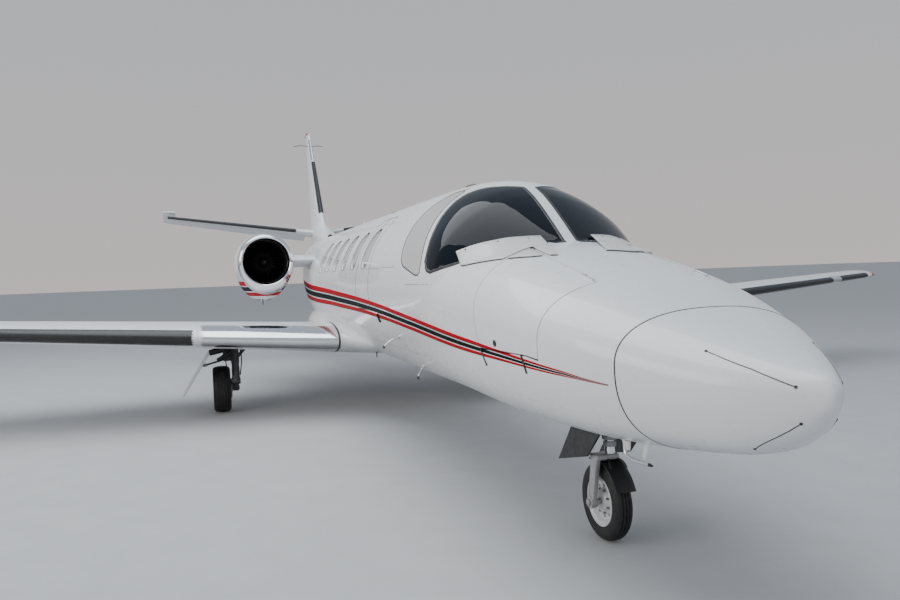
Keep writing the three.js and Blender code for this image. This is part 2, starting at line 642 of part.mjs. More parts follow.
// A closed outline seen from the side, moved outward from its middle.
function sideGrown(outline, grow) {
  const [ms, mz] = [0, 1].map((k) => outline.reduce((sum, p) => sum + p[k], 0) / outline.length);
  return outline.map(([s, z]) => {
    const away = (SLANT * grow) / Math.hypot(s - ms, z - mz);
    return [at(s + (s - ms) * away), z + (z - mz) * away];
  });
}
const sideRegion = (grow) => prism(sideGrown(SIDE_WINDOW, grow), 'y', -SPAN, -200);
const hatchRegion = (grow) => prism(sideOutline(
  HATCH.front - grow, HATCH.aft + grow, HATCH.sill - grow, HATCH.head + grow, HATCH.corner,
), 'y', -SPAN, -200);
const cabinWindows = Array.from({ length: CABIN_WINDOW.count }, (_, i) => {
  const middle = CABIN_WINDOW.first + i * CABIN_WINDOW.pitch;
  const half = CABIN_WINDOW.width / 2;
  const { sill, head, corner, reveal } = CABIN_WINDOW;
  const skin = sideOutline(middle - half, middle + half, sill, head, corner);
  const opening = cabinForm(1, 3900, 8200).subtract(cabinForm(-BELT.skin - BELT.pane, 3890, 8210));
  const [u0, u1] = [at(middle + half + reveal), at(middle - half - reveal)];
  const [v0, v1] = [sill - reveal, head + reveal];
  const cant = corner * 0.7;
  const lining = [
    [u0 + cant, v0], [u1 - cant, v0], [u1, v0 + cant], [u1, v1 - cant],
    [u1 - cant, v1], [u0 + cant, v1], [u0, v1 - cant], [u0, v0 + cant],
  ];
  return prism(skin, 'y', -SPAN, -200).intersect(opening)
    .add(prism(lining, 'y', -SPAN, -200).intersect(cabinForm(-BELT.skin - BELT.pane / 2, 3900, 8200)));
});
const beltBox = slab(at(BELT.front - GAP), at(BELT.aft + GAP), -SPAN, -200, BELT.sill - GAP, BELT.head + GAP);
const belt = cabinForm(-BELT.skin, 4000, 8200).intersect(beltBox);
const beltPane = cabinForm(-BELT.skin - GAP, 4000, 8200)
  .subtract(cabinForm(-BELT.skin - GAP - BELT.pane, 3990, 8210))
  .intersect(slab(at(BELT.front), at(BELT.aft), -SPAN, -200, BELT.sill, BELT.head));

// The cabin door turns about an upright line just outboard of the skin at its front edge.
// Its rear edge is part of a cylinder about that line, which clears the frame.
function doorRegion(grow) {
  const { hinge, outboard, radius, sill, head, corner } = CABIN_DOOR;
  const drum = rod([at(hinge), outboard, 0], [at(hinge), outboard, HEIGHT], radius + grow, radius + grow, 64);
  const outline = sideOutline(hinge + PANEL_CLEAR - grow, hinge + 1000, sill - grow, head + grow, corner);
  const face = prism(outline, 'y', 200, SPAN);
  return drum.intersect(face);
}

const openings = [
  windscreenRegion(GAP), mirrored(windscreenRegion(GAP)), sideRegion(GAP), mirrored(sideRegion(GAP)),
  ...cabinWindows, ...cabinWindows.map(mirrored), belt, mirrored(belt),
];
const cabinPlain = cut(cabinOuter, cabinInner, ...openings);

// Two hinges stand proud of the skin on the door's upright line. In each, the door's lug
// lies between two lugs of the frame.
const CABIN_HINGE = { heights: [1330, 1610], lug: 34, radius: 12, reach: 70, root: 62, thick: 22 };
function hingeLug(direction, low, high) {
  const { hinge, outboard } = CABIN_DOOR;
  const { radius, reach, root, thick } = CABIN_HINGE;
  const x = at(hinge);
  const arm = prism([
    [x, outboard + radius], [x, outboard - radius], [x + direction * 14, outboard - root],
    [x + direction * reach, outboard - root], [x + direction * reach, outboard - root + thick + 20],
  ], 'z', low, high);
  return arm.add(rod([x, outboard, low], [x, outboard, high], radius, radius, 10));
}
const doorLugs = CABIN_HINGE.heights.map((z) => hingeLug(-1, z - CABIN_HINGE.lug / 2, z + CABIN_HINGE.lug / 2));
const frameLugs = CABIN_HINGE.heights.flatMap((z) => {
  const near = CABIN_HINGE.lug / 2 + SEAT;
  return [hingeLug(1, z - near - CABIN_HINGE.lug, z - near), hingeLug(1, z + near, z + near + CABIN_HINGE.lug)];
});
const cabinCut = cut(cabinPlain, doorRegion(PANEL_CLEAR), hatchRegion(GAP));
part('cabin_shell', join(largest(cabinCut), ...frameLugs), WHITE);
part('cabin_door', join(largest(cabinPlain.intersect(doorRegion(0))), ...doorLugs), WHITE);
part('escape_hatch', largest(cabinPlain.intersect(hatchRegion(0))), WHITE);
const glassSkin = cabinOuter.subtract(cabinForm(-GLASS, 2120, 4000));
const ahead = slab(at(WINDSCREEN.aft), at(1900), -SPAN, 0, 0, HEIGHT);
pair('windscreen', largest(glassSkin.intersect(windscreenRegion(0)).intersect(ahead)), GLAZING);
pair('side_window', largest(glassSkin.intersect(sideRegion(0))), GLAZING);
pair('cabin_glazing', largest(beltPane), GLAZING);

// Cabin fittings.
const floorForm = cabinRoom(WALL + GAP, 2400, CABIN_AFT - BULKHEAD - GAP);
part('cabin_floor', floorForm.intersect(
  slab(at(2800), at(CABIN_AFT - BULKHEAD - GAP), -SPAN, SPAN, FLOOR_TOP - FLOOR_THICK, FLOOR_TOP),
), CARPET);

part('instrument_panel', cut(
  cabinRoom(WALL + GAP, 2400, 3900)
    .intersect(slab(at(PANEL.front), at(PANEL.aft), -SPAN, SPAN, PANEL.low, PANEL.high)),
  slab(at(PANEL.face), at(PANEL.aft) - 1, -SPAN, SPAN, 0, PANEL.knee),
), BLACK);

// A seat facing forward on a rail that reaches the floor, from its own cushion, back and
// arm sizes. The seats of one side of the cabin share a rail.
function seat(s, y, size) {
  const { width, depth, height, back, tilt } = size;
  const top = FLOOR_TOP + height;
  const cushion = slab(at(s), at(s + depth), y - width / 2, y + width / 2, top - 110, top);
  const rest = slab(-90, 0, y - width / 2, y + width / 2, 0, back);
  const lean = rest.rotate([0, -tilt, 0]).translate([at(s + depth - 40), 0, FLOOR_TOP + height - 60]);
  const box = slab(at(s + 60), at(s + depth - 60), y - 70, y + 70, FLOOR_TOP + 20, FLOOR_TOP + height - 60);
  return join(box, cushion, lean);
}
const rail = (from, to, y) => slab(at(from), at(to), y - 50, y + 50, FLOOR_TOP + GAP, FLOOR_TOP + 40);
pair('crew_seat', join(
  seat(CREW_SEAT.front, -CREW_SEAT.side, CREW_SEAT),
  rail(CREW_SEAT.front, CREW_SEAT.front + CREW_SEAT.depth, -CREW_SEAT.side),
), LEATHER);
pair('cabin_seats', join(
  rail(CABIN_SEAT_ROWS[0], CABIN_SEAT_ROWS.at(-1) + CABIN_SEAT.depth, -CABIN_SEAT.side),
  ...CABIN_SEAT_ROWS.map((s) => seat(s, -CABIN_SEAT.side, CABIN_SEAT)),
), LEATHER);

part('wing_fairing', largest(fairingForm().subtract(hullGrown)), WHITE);

// Wings.

const fairingGrown = fairingForm(GAP);
const wingRings = [
  ...[WING.innerY, 2290, 4600, WING.tipY].map((y) => [y, 0]), [7880, 22], [7930, 62], [WING.outerY, 105],
];
const wingForm = loft(wingRings.map(([y, inset]) => spanRing(-y, wingAt(y), WING.camber, inset)));
const wingHinge = (y, part0) => ({ ...spanHinge(-y, wingAt(y), WING.camber, part0) });

// Bay in the lower skin that takes the wheel and the leg when they are up.
const wheelBay = join(
  rod(
    [at(MAIN_GEAR.axleS), -WHEEL_BAY.y, 500], [at(MAIN_GEAR.axleS), -WHEEL_BAY.y, WHEEL_BAY.top],
    WHEEL_BAY.radius, WHEEL_BAY.radius, 24,
  ),
  slab(at(WHEEL_BAY.front), at(WHEEL_BAY.aft), -WHEEL_BAY.outerY, -WHEEL_BAY.y, 500, WHEEL_BAY.top),
);

const flapEnds = [wingHinge(FLAP.outerY, FLAP.chordPart), wingHinge(FLAP.innerY, FLAP.chordPart)];
const aileronEnds = [wingHinge(AILERON.outerY, AILERON.chordPart), wingHinge(AILERON.innerY, AILERON.chordPart)];
const flap = surface(wingForm, ...flapEnds);
const aileron = surface(wingForm, ...aileronEnds);
pair('wing', largest(cut(wingForm, fairingGrown, hullGrown, wheelBay, flap.pocket, aileron.pocket)), WHITE);
pair('flap', flap.moving, WHITE);
pair('aileron', aileron.moving, WHITE);

// Tail.

part('tailcone', largest(cut(tailForm(0, CABIN_AFT + GAP), tailRoom(TAIL_WALL, CABIN_AFT - 1, 13300))), WHITE);

// The fin's sections lie flat, one above the other. The lowest ones spread into the fillet
// ahead of the fin and the fairing around the stabilizer's root.
const FIN_ROWS = [
  { z: 2080, le: 10900, te: 14120, half: 190 },
  { z: 2300, le: 11250, te: 14125, half: 172 },
  { z: 2420, le: 11800, te: 14130, half: 168 },
  { z: 2560, le: 12300, te: 14140, half: 130 },
  { z: 2680, le: 12425, te: 14153, half: 92 },
  { z: 4470, le: 13790, te: LENGTH, half: 36 },
  { z: 4540, le: 13862, te: LENGTH - 12, half: 26 },
  { z: HEIGHT, le: 13950, te: LENGTH - 60, half: 10 },
];
const finRing = ({ z, le, te, half }) => sectionPoints(te - le, (2 * half) / (te - le)).map(([aft, up]) => (
  new THREE.Vector3(at(le + aft), up, z)
));
const finForm = loft(FIN_ROWS.map(finRing));

// Half the fin's thickness at a height and a station.
function finHalf(z, s) {
  const above = FIN_ROWS.findIndex((row) => row.z > z);
  const [low, high] = [FIN_ROWS[above - 1], FIN_ROWS[above]];
  const t = (z - low.z) / (high.z - low.z);
  const [le, te, half] = ['le', 'te', 'half'].map((key) => mix(low[key], high[key], t));
  return sectionHalf((s - le) / (te - le), (2 * half) / (te - le), te - le);
}
const rudderEnds = [[RUDDER.low, RUDDER.lowS], [RUDDER.high, RUDDER.highS]].map(([z, s]) => (
  { x: at(s), y: 0, z, r: finHalf(z, s) }
));
const rudder = surface(finForm, ...rudderEnds);

function tailAt(y) {
  const t = y / STABILIZER.tipY;
  return {
    le: mix(STABILIZER.rootLe, STABILIZER.tipLe, t),
    chord: mix(STABILIZER.rootChord, STABILIZER.tipChord, t),
    z: mix(STABILIZER.rootZ, STABILIZER.tipZ, t),
    ratio: mix(STABILIZER.rootRatio, STABILIZER.tipRatio, t),
  };
}
const STABILIZER_RINGS = [[0, 0], [STABILIZER.tipY - 40, 0], [STABILIZER.tipY, 14], [STABILIZER.capY, 42]];
const stabilizerForm = loft(STABILIZER_RINGS.map(([y, inset]) => (
  spanRing(-y, tailAt(y), 0, inset)
)));
const elevatorEnds = [ELEVATOR.hornY, ELEVATOR.innerY].map((y) => spanHinge(-y, tailAt(y), 0, ELEVATOR.chordPart));
const elevator = surface(stabilizerForm, ...elevatorEnds, { horn: true });

// Turns a solid about the line through two points, in degrees.
function turnAbout(manifold, from, to, degrees) {
  const start = new THREE.Vector3(from.x, from.y, from.z);
  const axis = new THREE.Vector3(to.x, to.y, to.z).sub(start).normalize();
  const turn = new THREE.Matrix4().makeRotationAxis(axis, THREE.MathUtils.degToRad(degrees));
  const move = new THREE.Matrix4().makeTranslation(start).multiply(turn)
    .multiply(new THREE.Matrix4().makeTranslation(start.clone().negate()));
  return manifold.transform(move.elements);
}

const finGrown = loft(FIN_ROWS.map((row) => finRing({ ...row, half: row.half + GAP })));
pair('stabilizer', largest(cut(stabilizerForm, elevator.pocket, finGrown, hullGrown)), WHITE);
pair('elevator', turnAbout(elevator.moving, ...elevatorEnds, -ELEVATOR.droop), WHITE);
part('fin', largest(cut(finForm, hullGrown, rudder.pocket)), WHITE);
part('rudder', rudder.moving, WHITE);

// Engines. The cowling is deeper below its axis, where the accessories are, than above it.
// along: distance aft of the inlet plane; half, up and down: reach from the engine's axis.
const COWL = [
  { along: 0, half: 320, up: 320, down: 320 },
  { along: 8, half: 338, up: 338, down: 345 },
  { along: 40, half: 352, up: 356, down: 395 },
  { along: 130, half: 362, up: 372, down: 440 },
  { along: 400, half: 371, up: 388, down: 505 },
  { along: 800, half: 373, up: 392, down: 546 },
  { along: 1300, half: 362, up: 380, down: 535 },
  { along: 1800, half: 328, up: 345, down: 452 },
  { along: 2150, half: 292, up: 302, down: 348 },
  { along: ENGINE.length, half: 276, up: 280, down: 292 },
].map(({ along, half, up, down }) => ({
  s: ENGINE.inlet + along, low: ENGINE.z - down, high: ENGINE.z + up, half, mid: ENGINE.z, square: 2,
}));
const cowlStations = COWL.map((row) => row.s);
const cowl = (from, to, grow = 0) => (
  body(COWL, between(cowlStations, ENGINE.inlet + from, ENGINE.inlet + to), grow, ENGINE.sides).translate([0, -ENGINE.y, 0])
);
const onEngine = (manifold) => manifold.translate([at(ENGINE.inlet), -ENGINE.y, ENGINE.z]);
const intake = onEngine(turned([
  [-5, 0], [-5, 322], [0, 316], [12, 303], [50, 291], [ENGINE.lipLength, ENGINE.duct + 3], [660, ENGINE.duct],
  [800, ENGINE.bore + GAP], [1960, ENGINE.bore + GAP], [2120, 256], [ENGINE.length + 5, 262], [ENGINE.length + 5, 0],
], ENGINE.sides));
const engineCore = turned([
  [540, 0], [540, 70], [640, 80], [810, ENGINE.bore], [1950, ENGINE.bore], [1980, 190], [2290, 40], [2300, 0],
], ENGINE.sides);
pair('inlet_lip', cowl(0, ENGINE.lipLength).subtract(intake), POLISHED);
pair('nacelle', cowl(ENGINE.lipLength + GAP, ENGINE.length).subtract(intake), WHITE);
pair('engine_core', onEngine(engineCore), STEEL);

function fanWheel() {
  const { fanFront, fanBack, duct } = ENGINE;
  const hub = turned([
    [fanFront - 110, 0], [fanFront - 80, 38], [fanFront - 10, 86], [fanBack, 98], [540 - SEAT, 60], [540 - SEAT, 0],
  ], 12);
  const blade = slab(-fanBack + 8, -fanFront - 8, -7, 7, 70, duct - CLEAR);
  const middle = (fanFront + fanBack) / 2;
  const count = 12;
  const blades = Array.from({ length: count }, (_, i) => (
    blade.translate([middle, 0, 0]).rotate([0, 0, 38]).translate([-middle, 0, 0]).rotate([(i * 360) / count, 0, 0])
  ));
  return join(hub, ...blades);
}
[['right', -1], ['left', 1]].forEach(([side, sign]) => {
  const shaft = new THREE.Group();
  shaft.position.set(at(ENGINE.inlet), sign * ENGINE.y, ENGINE.z);
  aircraft.add(shaft);
  part(`fan_${side}`, fanWheel(), STEEL, shaft);
});

const pylonRing = (y) => sectionPoints(PYLON.chord, PYLON.ratio).map(([aft, up]) => (
  new THREE.Vector3(at(PYLON.le + aft), y, PYLON.z + up)
));
const pylon = cut(loft([-600, -ENGINE.y].map(pylonRing)), hullGrown, cowl(0, ENGINE.length, GAP));
pair('pylon', largest(pylon), WHITE);

// Landing gear. Wheels are built about their own axle and placed by position.

function wheel(radius, width, rim, rimWidth, bore) {
  const half = width / 2;
  const crown = [
    [half - 14, rim + GAP], [half, rim + 24], [half, radius - 50], [half * 0.86, radius - 20], [half * 0.55, radius],
  ];
  const ring = [...crown, ...crown.slice().reverse().map(([along, r]) => [-along, r])];
  const rimHalf = rimWidth / 2;
  const face = [
    [rimHalf, rim], [rimHalf, rim - 12], [rimHalf - 34, rim * 0.6], [rimHalf - 10, rim * 0.42], [rimHalf - 10, bore],
  ];
  return {
    tyre: turned(ring, TYRE_SIDES).rotate([0, 0, 90]),
    rim: turned([...face, ...face.slice().reverse().map(([along, r]) => [-along, r])], TYRE_SIDES).rotate([0, 0, 90]),
  };
}

function wheelAt(name, suffix, made, x, y, z) {
  const hub = new THREE.Group();
  hub.position.set(x, y, z);
  aircraft.add(hub);
  part(`${name}_tyre${suffix}`, made.tyre, TYRE, hub);
  part(`${name}_rim${suffix}`, made.rim, GREY, hub);
}

// Nose gear.
const NOSE_AXLE_R = 16;
const noseWheel = wheel(
  NOSE_GEAR.tyreR, NOSE_GEAR.tyreWidth, NOSE_GEAR.rimR, NOSE_GEAR.rimWidth, NOSE_AXLE_R + SEAT,
);
wheelAt('nose', '', noseWheel, at(NOSE_GEAR.axleS), 0, NOSE_GEAR.tyreR);

const noseLegX = at(NOSE_GEAR.legS);
const STEER_Z = 600; // split between the fixed leg and the steered fork
part('nose_leg', join(
  rod([noseLegX, 0, STEER_Z + SEAT], [noseLegX, 0, NOSE_GEAR.wellTop - 40], 44, 44, 16),
  slab(noseLegX - 70, noseLegX + 60, -55, 55, 650, 720),
  rod([noseLegX, -NOSE_GEAR.wellHalf + GAP, 860], [noseLegX, NOSE_GEAR.wellHalf - GAP, 860], 26, 26, 12),
  rod([noseLegX + 20, 0, 690], [at(1330), 0, 890], 18, 18, 10),
  rod([at(1330), -NOSE_GEAR.wellHalf + GAP, 890], [at(1330), NOSE_GEAR.wellHalf - GAP, 890], 18, 18, 10),
), GREY);

const guardR = NOSE_GEAR.tyreR + 22;
const guardRing = [[-62, guardR], [62, guardR], [62, guardR + 7], [-62, guardR + 7]];
const guardSweep = turned(guardRing, 40).rotate([0, 0, 90])
  .translate([at(NOSE_GEAR.axleS), 0, NOSE_GEAR.tyreR]);
const forkY = -NOSE_GEAR.tyreWidth / 2 - 34;
part('nose_fork', join(
  rod([noseLegX, 0, 500], [noseLegX, 0, STEER_Z], 32, 32, 16),
  slab(noseLegX - 55, noseLegX + 40, forkY - 18, 40, 486, 522),
  guardSweep.intersect(slab(at(NOSE_GEAR.axleS) - 90, at(NOSE_GEAR.axleS) + 260, -62, 62, 330, 520)),
  prism([
    [noseLegX + 34, 510], [noseLegX - 44, 510],
    [at(NOSE_GEAR.axleS) - 34, NOSE_GEAR.tyreR], [at(NOSE_GEAR.axleS) - 20, NOSE_GEAR.tyreR - 30],
    [at(NOSE_GEAR.axleS) + 20, NOSE_GEAR.tyreR - 30], [at(NOSE_GEAR.axleS) + 34, NOSE_GEAR.tyreR],
  ], 'y', forkY - 16, forkY + 16),
  rod(
    [at(NOSE_GEAR.axleS), forkY - 26, NOSE_GEAR.tyreR],
    [at(NOSE_GEAR.axleS), NOSE_GEAR.rimWidth / 2 + 12, NOSE_GEAR.tyreR],
    NOSE_AXLE_R, NOSE_AXLE_R, 12,
  ),
), GREY);

// The doors of the nose wheel bay hang upright on each side of the leg.
const NOSE_DOOR = {
  inner: 132, thick: 12, outline: [[1523, 700], [1713, 509], [2088, 415], [1862, 700]],
};
const noseDoor = prism(
  NOSE_DOOR.outline.map(([s, z]) => [at(s), z]),
  'y',
  -NOSE_DOOR.inner - NOSE_DOOR.thick,
  -NOSE_DOOR.inner,
);
pair('nose_gear_door', cut(noseDoor, hullGrown), BLACK);

// Main gear: an upright leg inboard of the wheel, a trailing arm that carries the axle, and
// a shock strut between the arm and the leg's head.
const AXLE_R = 26;
const mainLegX = at(MAIN_GEAR.legS);
const mainAxleX = at(MAIN_GEAR.axleS);
const mainWheel = wheel(
  MAIN_GEAR.tyreR, MAIN_GEAR.tyreWidth, MAIN_GEAR.rimR, MAIN_GEAR.rimWidth, AXLE_R + SEAT,
);
const legY = -MAIN_GEAR.legY;
const bayRoof = WHEEL_BAY.top - GAP;
const [plateY, plateZ] = MAIN_GEAR.plateTop;
const [lowY, lowZ] = MAIN_GEAR.plateLow;
const PLATE_THICK = 18;
const plateOutline = (inner, outer) => [
  [-plateY + inner, plateZ], [-plateY - outer, plateZ], [-lowY - outer, lowZ], [-lowY + inner, lowZ],
];
const mainLegParts = join(
  rod([mainLegX, legY, MAIN_GEAR.kneeZ], [mainLegX, legY, bayRoof], 46, 46, 16),
  rod([mainLegX, legY - 52, MAIN_GEAR.kneeZ], [mainLegX, legY + 52, MAIN_GEAR.kneeZ], 40, 40, 12),
  prism([
    [mainLegX + 38, MAIN_GEAR.kneeZ], [mainLegX, MAIN_GEAR.kneeZ - 38], [mainAxleX - 44, MAIN_GEAR.tyreR - 40],
    [mainAxleX - 44, MAIN_GEAR.tyreR + 40], [mainLegX, MAIN_GEAR.kneeZ + 38],
  ], 'y', legY - 36, legY + 36),
  rod(
    [mainAxleX, legY + 44, MAIN_GEAR.tyreR],
    [mainAxleX, -MAIN_GEAR.y - MAIN_GEAR.rimWidth / 2 - 14, MAIN_GEAR.tyreR],
    AXLE_R, AXLE_R, 14,
  ),
  rod([mainAxleX + 6, legY, MAIN_GEAR.tyreR + 40], [mainLegX - 120, legY, bayRoof + 20], 30, 30, 12),
  rod([mainLegX, legY, 640], [mainLegX, -1560, bayRoof + 20], 22, 22, 10),
  rod([mainLegX + 20, legY - 20, 680], [mainLegX + 20, -lowY, 560], 14, 14, 10),
);
const mainLeg = cut(
  mainLegParts,
  prism(plateOutline(GAP, 400), 'x', -LENGTH, LENGTH),
  slab(-LENGTH, LENGTH, -SPAN, SPAN, bayRoof, HEIGHT),
);
pair('main_gear_leg', largest(mainLeg), GREY);
pair('main_gear_door', prism(
  plateOutline(0, PLATE_THICK), 'x', at(MAIN_GEAR.plateAft), at(MAIN_GEAR.plateFront),
), WHITE);
wheelAt('main', '_right', mainWheel, mainAxleX, -MAIN_GEAR.y, MAIN_GEAR.tyreR);
wheelAt('main', '_left', mainWheel, mainAxleX, MAIN_GEAR.y, MAIN_GEAR.tyreR);

export default aircraft;
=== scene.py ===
"""Looks of a light twin-engined business jet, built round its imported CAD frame.

Metres. +X points to the nose, +Y to port and +Z up. A station is a distance aft of the nose
tip, so it lies at x = NOSE_X - station. The aircraft's outer forms are repeated here as
tables, because every skin is refined until it lies on them.
"""

from __future__ import annotations

import json
import logging
import math
from contextlib import contextmanager
from dataclasses import dataclass
from enum import Enum
from typing import Iterator, Sequence

import bmesh
import bpy
import numpy as np
from mathutils import Matrix, Vector

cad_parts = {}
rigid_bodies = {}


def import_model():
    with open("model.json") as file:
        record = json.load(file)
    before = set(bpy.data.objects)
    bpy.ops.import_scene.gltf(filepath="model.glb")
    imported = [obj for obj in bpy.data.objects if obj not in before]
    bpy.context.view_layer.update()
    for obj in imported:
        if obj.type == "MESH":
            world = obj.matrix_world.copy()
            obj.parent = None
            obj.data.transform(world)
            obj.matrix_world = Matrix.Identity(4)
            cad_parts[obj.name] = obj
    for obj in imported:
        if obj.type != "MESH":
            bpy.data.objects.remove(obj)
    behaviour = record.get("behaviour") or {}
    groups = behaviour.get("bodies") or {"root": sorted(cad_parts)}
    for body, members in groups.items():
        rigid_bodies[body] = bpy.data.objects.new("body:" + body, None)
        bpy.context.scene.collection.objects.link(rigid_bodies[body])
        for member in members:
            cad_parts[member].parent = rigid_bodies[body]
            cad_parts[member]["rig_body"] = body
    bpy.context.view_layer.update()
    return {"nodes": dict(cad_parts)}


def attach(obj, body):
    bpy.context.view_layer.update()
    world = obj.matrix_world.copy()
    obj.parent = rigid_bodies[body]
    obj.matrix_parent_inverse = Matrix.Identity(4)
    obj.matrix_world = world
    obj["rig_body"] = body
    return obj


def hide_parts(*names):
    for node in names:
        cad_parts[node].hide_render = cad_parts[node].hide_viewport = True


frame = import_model()

LOG = logging.getLogger("jet")
NOSE_X = 7.195
DOWN = np.array([0.0, 0.0, -1.0])
Point = tuple[float, float, float]
Colour = tuple[float, float, float]
Mesh = bpy.types.Object


class Side(Enum):
    """The two sides of the aircraft."""

    RIGHT = -1
    LEFT = 1

    @property
    def label(self) -> str:
        """The side's name in a CAD node or body."""
        return self.name.lower()


# Outer forms.


class Form:
    """A surface given by a function that is zero on it and grows outwards."""

    def value(self, p: np.ndarray) -> np.ndarray:
        """The function at rows of points."""
        raise NotImplementedError

    def slope(self, p: np.ndarray) -> np.ndarray:
        """The function's gradient at rows of points."""
        step, made = 5e-5, np.empty_like(p)
        for k in range(3):
            move = np.zeros(3)
            move[k] = step
            made[:, k] = (self.value(p + move) - self.value(p - move)) / (2 * step)
        return made

    def gap(self, p: np.ndarray) -> np.ndarray:
        """How far points are outside the surface, in metres."""
        return self.value(p) / np.maximum(np.linalg.norm(self.slope(p), axis=1), 1e-9)

    def normals(self, p: np.ndarray) -> np.ndarray:
        """Outward unit normals at points on the surface."""
        g = self.slope(p)
        return g / np.maximum(np.linalg.norm(g, axis=1, keepdims=True), 1e-12)

    def settle(self, p: np.ndarray, reach: float = 0.03) -> np.ndarray:
        """Moves points onto the surface.

        Args:
            p: rows of points near it.
            reach: the furthest that a point may move.

        Returns:
            The moved points.
        """
        made = p.copy()
        for _ in range(5):
            g = self.slope(made)
            square = np.maximum((g * g).sum(1), 1e-12)
            made -= g * (self.value(made) / square)[:, None]
        move = made - p
        size = np.linalg.norm(move, axis=1, keepdims=True)
        return p + move * np.minimum(1, reach / np.maximum(size, 1e-9))

    def cast(self, start: np.ndarray, end: np.ndarray) -> np.ndarray:
        """Where lines from outside points to inside points meet the surface."""
        a, b = np.zeros(len(start)), np.ones(len(start))
        for _ in range(40):
            m = (a + b) / 2
            inside = self.value(start + (end - start) * m[:, None]) < 0
            b = np.where(inside, m, b)
            a = np.where(inside, a, m)
        return start + (end - start) * a[:, None]

    def side(self, station: Sequence[float], z: Sequence[float], side: Side) -> np.ndarray:
        """Points of one flank at stations and heights."""
        s, z = np.broadcast_arrays(np.asarray(station, float), np.asarray(z, float))
        out = np.stack([NOSE_X - s, np.full(s.shape, 1.2 * side.value), z], 1)
        mid = out.copy()
        mid[:, 1] = 0
        return self.cast(out, mid)

    def crown(self, station: Sequence[float], y: Sequence[float], under: bool = False) -> np.ndarray:
        """Points of the top, or of the belly, at stations and places across."""
        s, y = np.broadcast_arrays(np.asarray(station, float), np.asarray(y, float))
        out = np.stack([NOSE_X - s, y, np.full(s.shape, 0.2 if under else 3.2)], 1)
        mid = out.copy()
        mid[:, 2] = 1.15 if under else 1.25
        return self.cast(out, mid)


class Hull(Form):
    """A body of oval sections along X, from rows of (station, low, high, half, mid, square)."""

    def __init__(self, rows: Sequence[tuple[float, ...]], grow: float = 0.0, y: float = 0.0) -> None:
        """Reads the rows, in millimetres, into dense columns."""
        table = np.array(rows, float)
        table[:, :5] /= 1000
        self.first, self.last, self.grow, self.y = table[0, 0], table[-1, 0], grow, y
        knots = np.sqrt(table[:, 0])
        self.root = np.linspace(knots[0], knots[-1], 3000)
        self.columns = [self._smooth(knots, table[:, k]) for k in range(1, 6)]

    def _smooth(self, knots: np.ndarray, v: np.ndarray) -> np.ndarray:
        """One column on the dense grid, on a curve with no overshoot."""
        chord = np.diff(v) / np.diff(knots)
        tangent = np.zeros(len(v))
        tangent[0], tangent[-1] = chord[0], chord[-1]
        for i in range(1, len(v) - 1):
            a, b = chord[i - 1], chord[i]
            tangent[i] = 0 if a * b <= 0 else 2 * a * b / (a + b)
        i = np.clip(np.searchsorted(knots, self.root, side="left") - 1, 0, len(v) - 2)
        step = knots[i + 1] - knots[i]
        t = np.clip((self.root - knots[i]) / step, 0, 1)
        return (
            (1 + 2 * t) * (1 - t) ** 2 * v[i] + t * (1 - t) ** 2 * step * tangent[i]
            + t * t * (3 - 2 * t) * v[i + 1] + t * t * (t - 1) * step * tangent[i + 1]
        )

    def reach(self, p: np.ndarray) -> tuple[np.ndarray, np.ndarray]:
        """Distances of points, and of the surface in their direction, from the section's middle."""
        s = np.sqrt(np.clip(NOSE_X - p[:, 0], self.first, self.last))
        low, high, half, mid, square = (np.interp(s, self.root, c) for c in self.columns)
        across, up = np.abs(p[:, 1] - self.y), p[:, 2] - mid
        rise = np.where(up > 0, high - mid, mid - low) + self.grow
        r = np.maximum(np.hypot(across, up), 1e-6)
        level = ((across / (half + self.grow)) ** square + (np.abs(up) / rise) ** square) ** (1 / square)
        return r, r / np.maximum(level, 1e-6)

    def value(self, p: np.ndarray) -> np.ndarray:
        """Squared distance beyond the surface, which keeps a round tip well behaved."""
        r, edge = self.reach(p)
        return (r * r - edge * edge) / 0.8


class Fuselage(Form):
    """The nose body and the cabin body, joined with a small soft crease between them."""

    def __init__(self, grow: float = 0.0) -> None:
        """Makes both bodies, grown outwards by a distance in metres."""
        self.nose, self.cabin = Hull(NOSE_BODY, grow), Hull(CABIN_BODY, grow)

    def value(self, p: np.ndarray) -> np.ndarray:
        """The lower of the two bodies' distances, rounded where they cross."""
        s = NOSE_X - p[:, 0]
        (r1, e1), (r2, e2) = self.nose.reach(p), self.cabin.reach(p)
        a = np.where(s > self.nose.last, 9.0, r1 - e1)
        b = np.where(s < self.cabin.first, 9.0, r2 - e2)
        soft = 0.018 * np.clip((3.2 - s) / 0.6, 0, 1) * np.clip((s - self.cabin.first) / 0.05, 0, 1) + 1e-6
        blend = np.maximum(soft - np.abs(a - b), 0) / soft
        low = np.minimum(a, b) - blend * blend * soft / 4
        tip = np.clip((0.8 - s) / 0.4, 0, 1)
        return low * (1 - tip + tip * (r1 + e1) / 0.8)


def half_thickness(part: np.ndarray, ratio: np.ndarray, chord: np.ndarray) -> np.ndarray:
    """Squared half thickness of an aerofoil at parts of its chord, running on below zero."""
    q = np.clip(part, 0, 1.02)
    law = 0.2969 * np.sqrt(q) - 0.126 * q - 0.3516 * q**2 + 0.2843 * q**3 - 0.1036 * q**4
    made = (5 * ratio * law * chord + q * 0.0025) ** 2
    return np.where(part < 0, (5 * ratio * 0.2969 * chord) ** 2 * part, made)


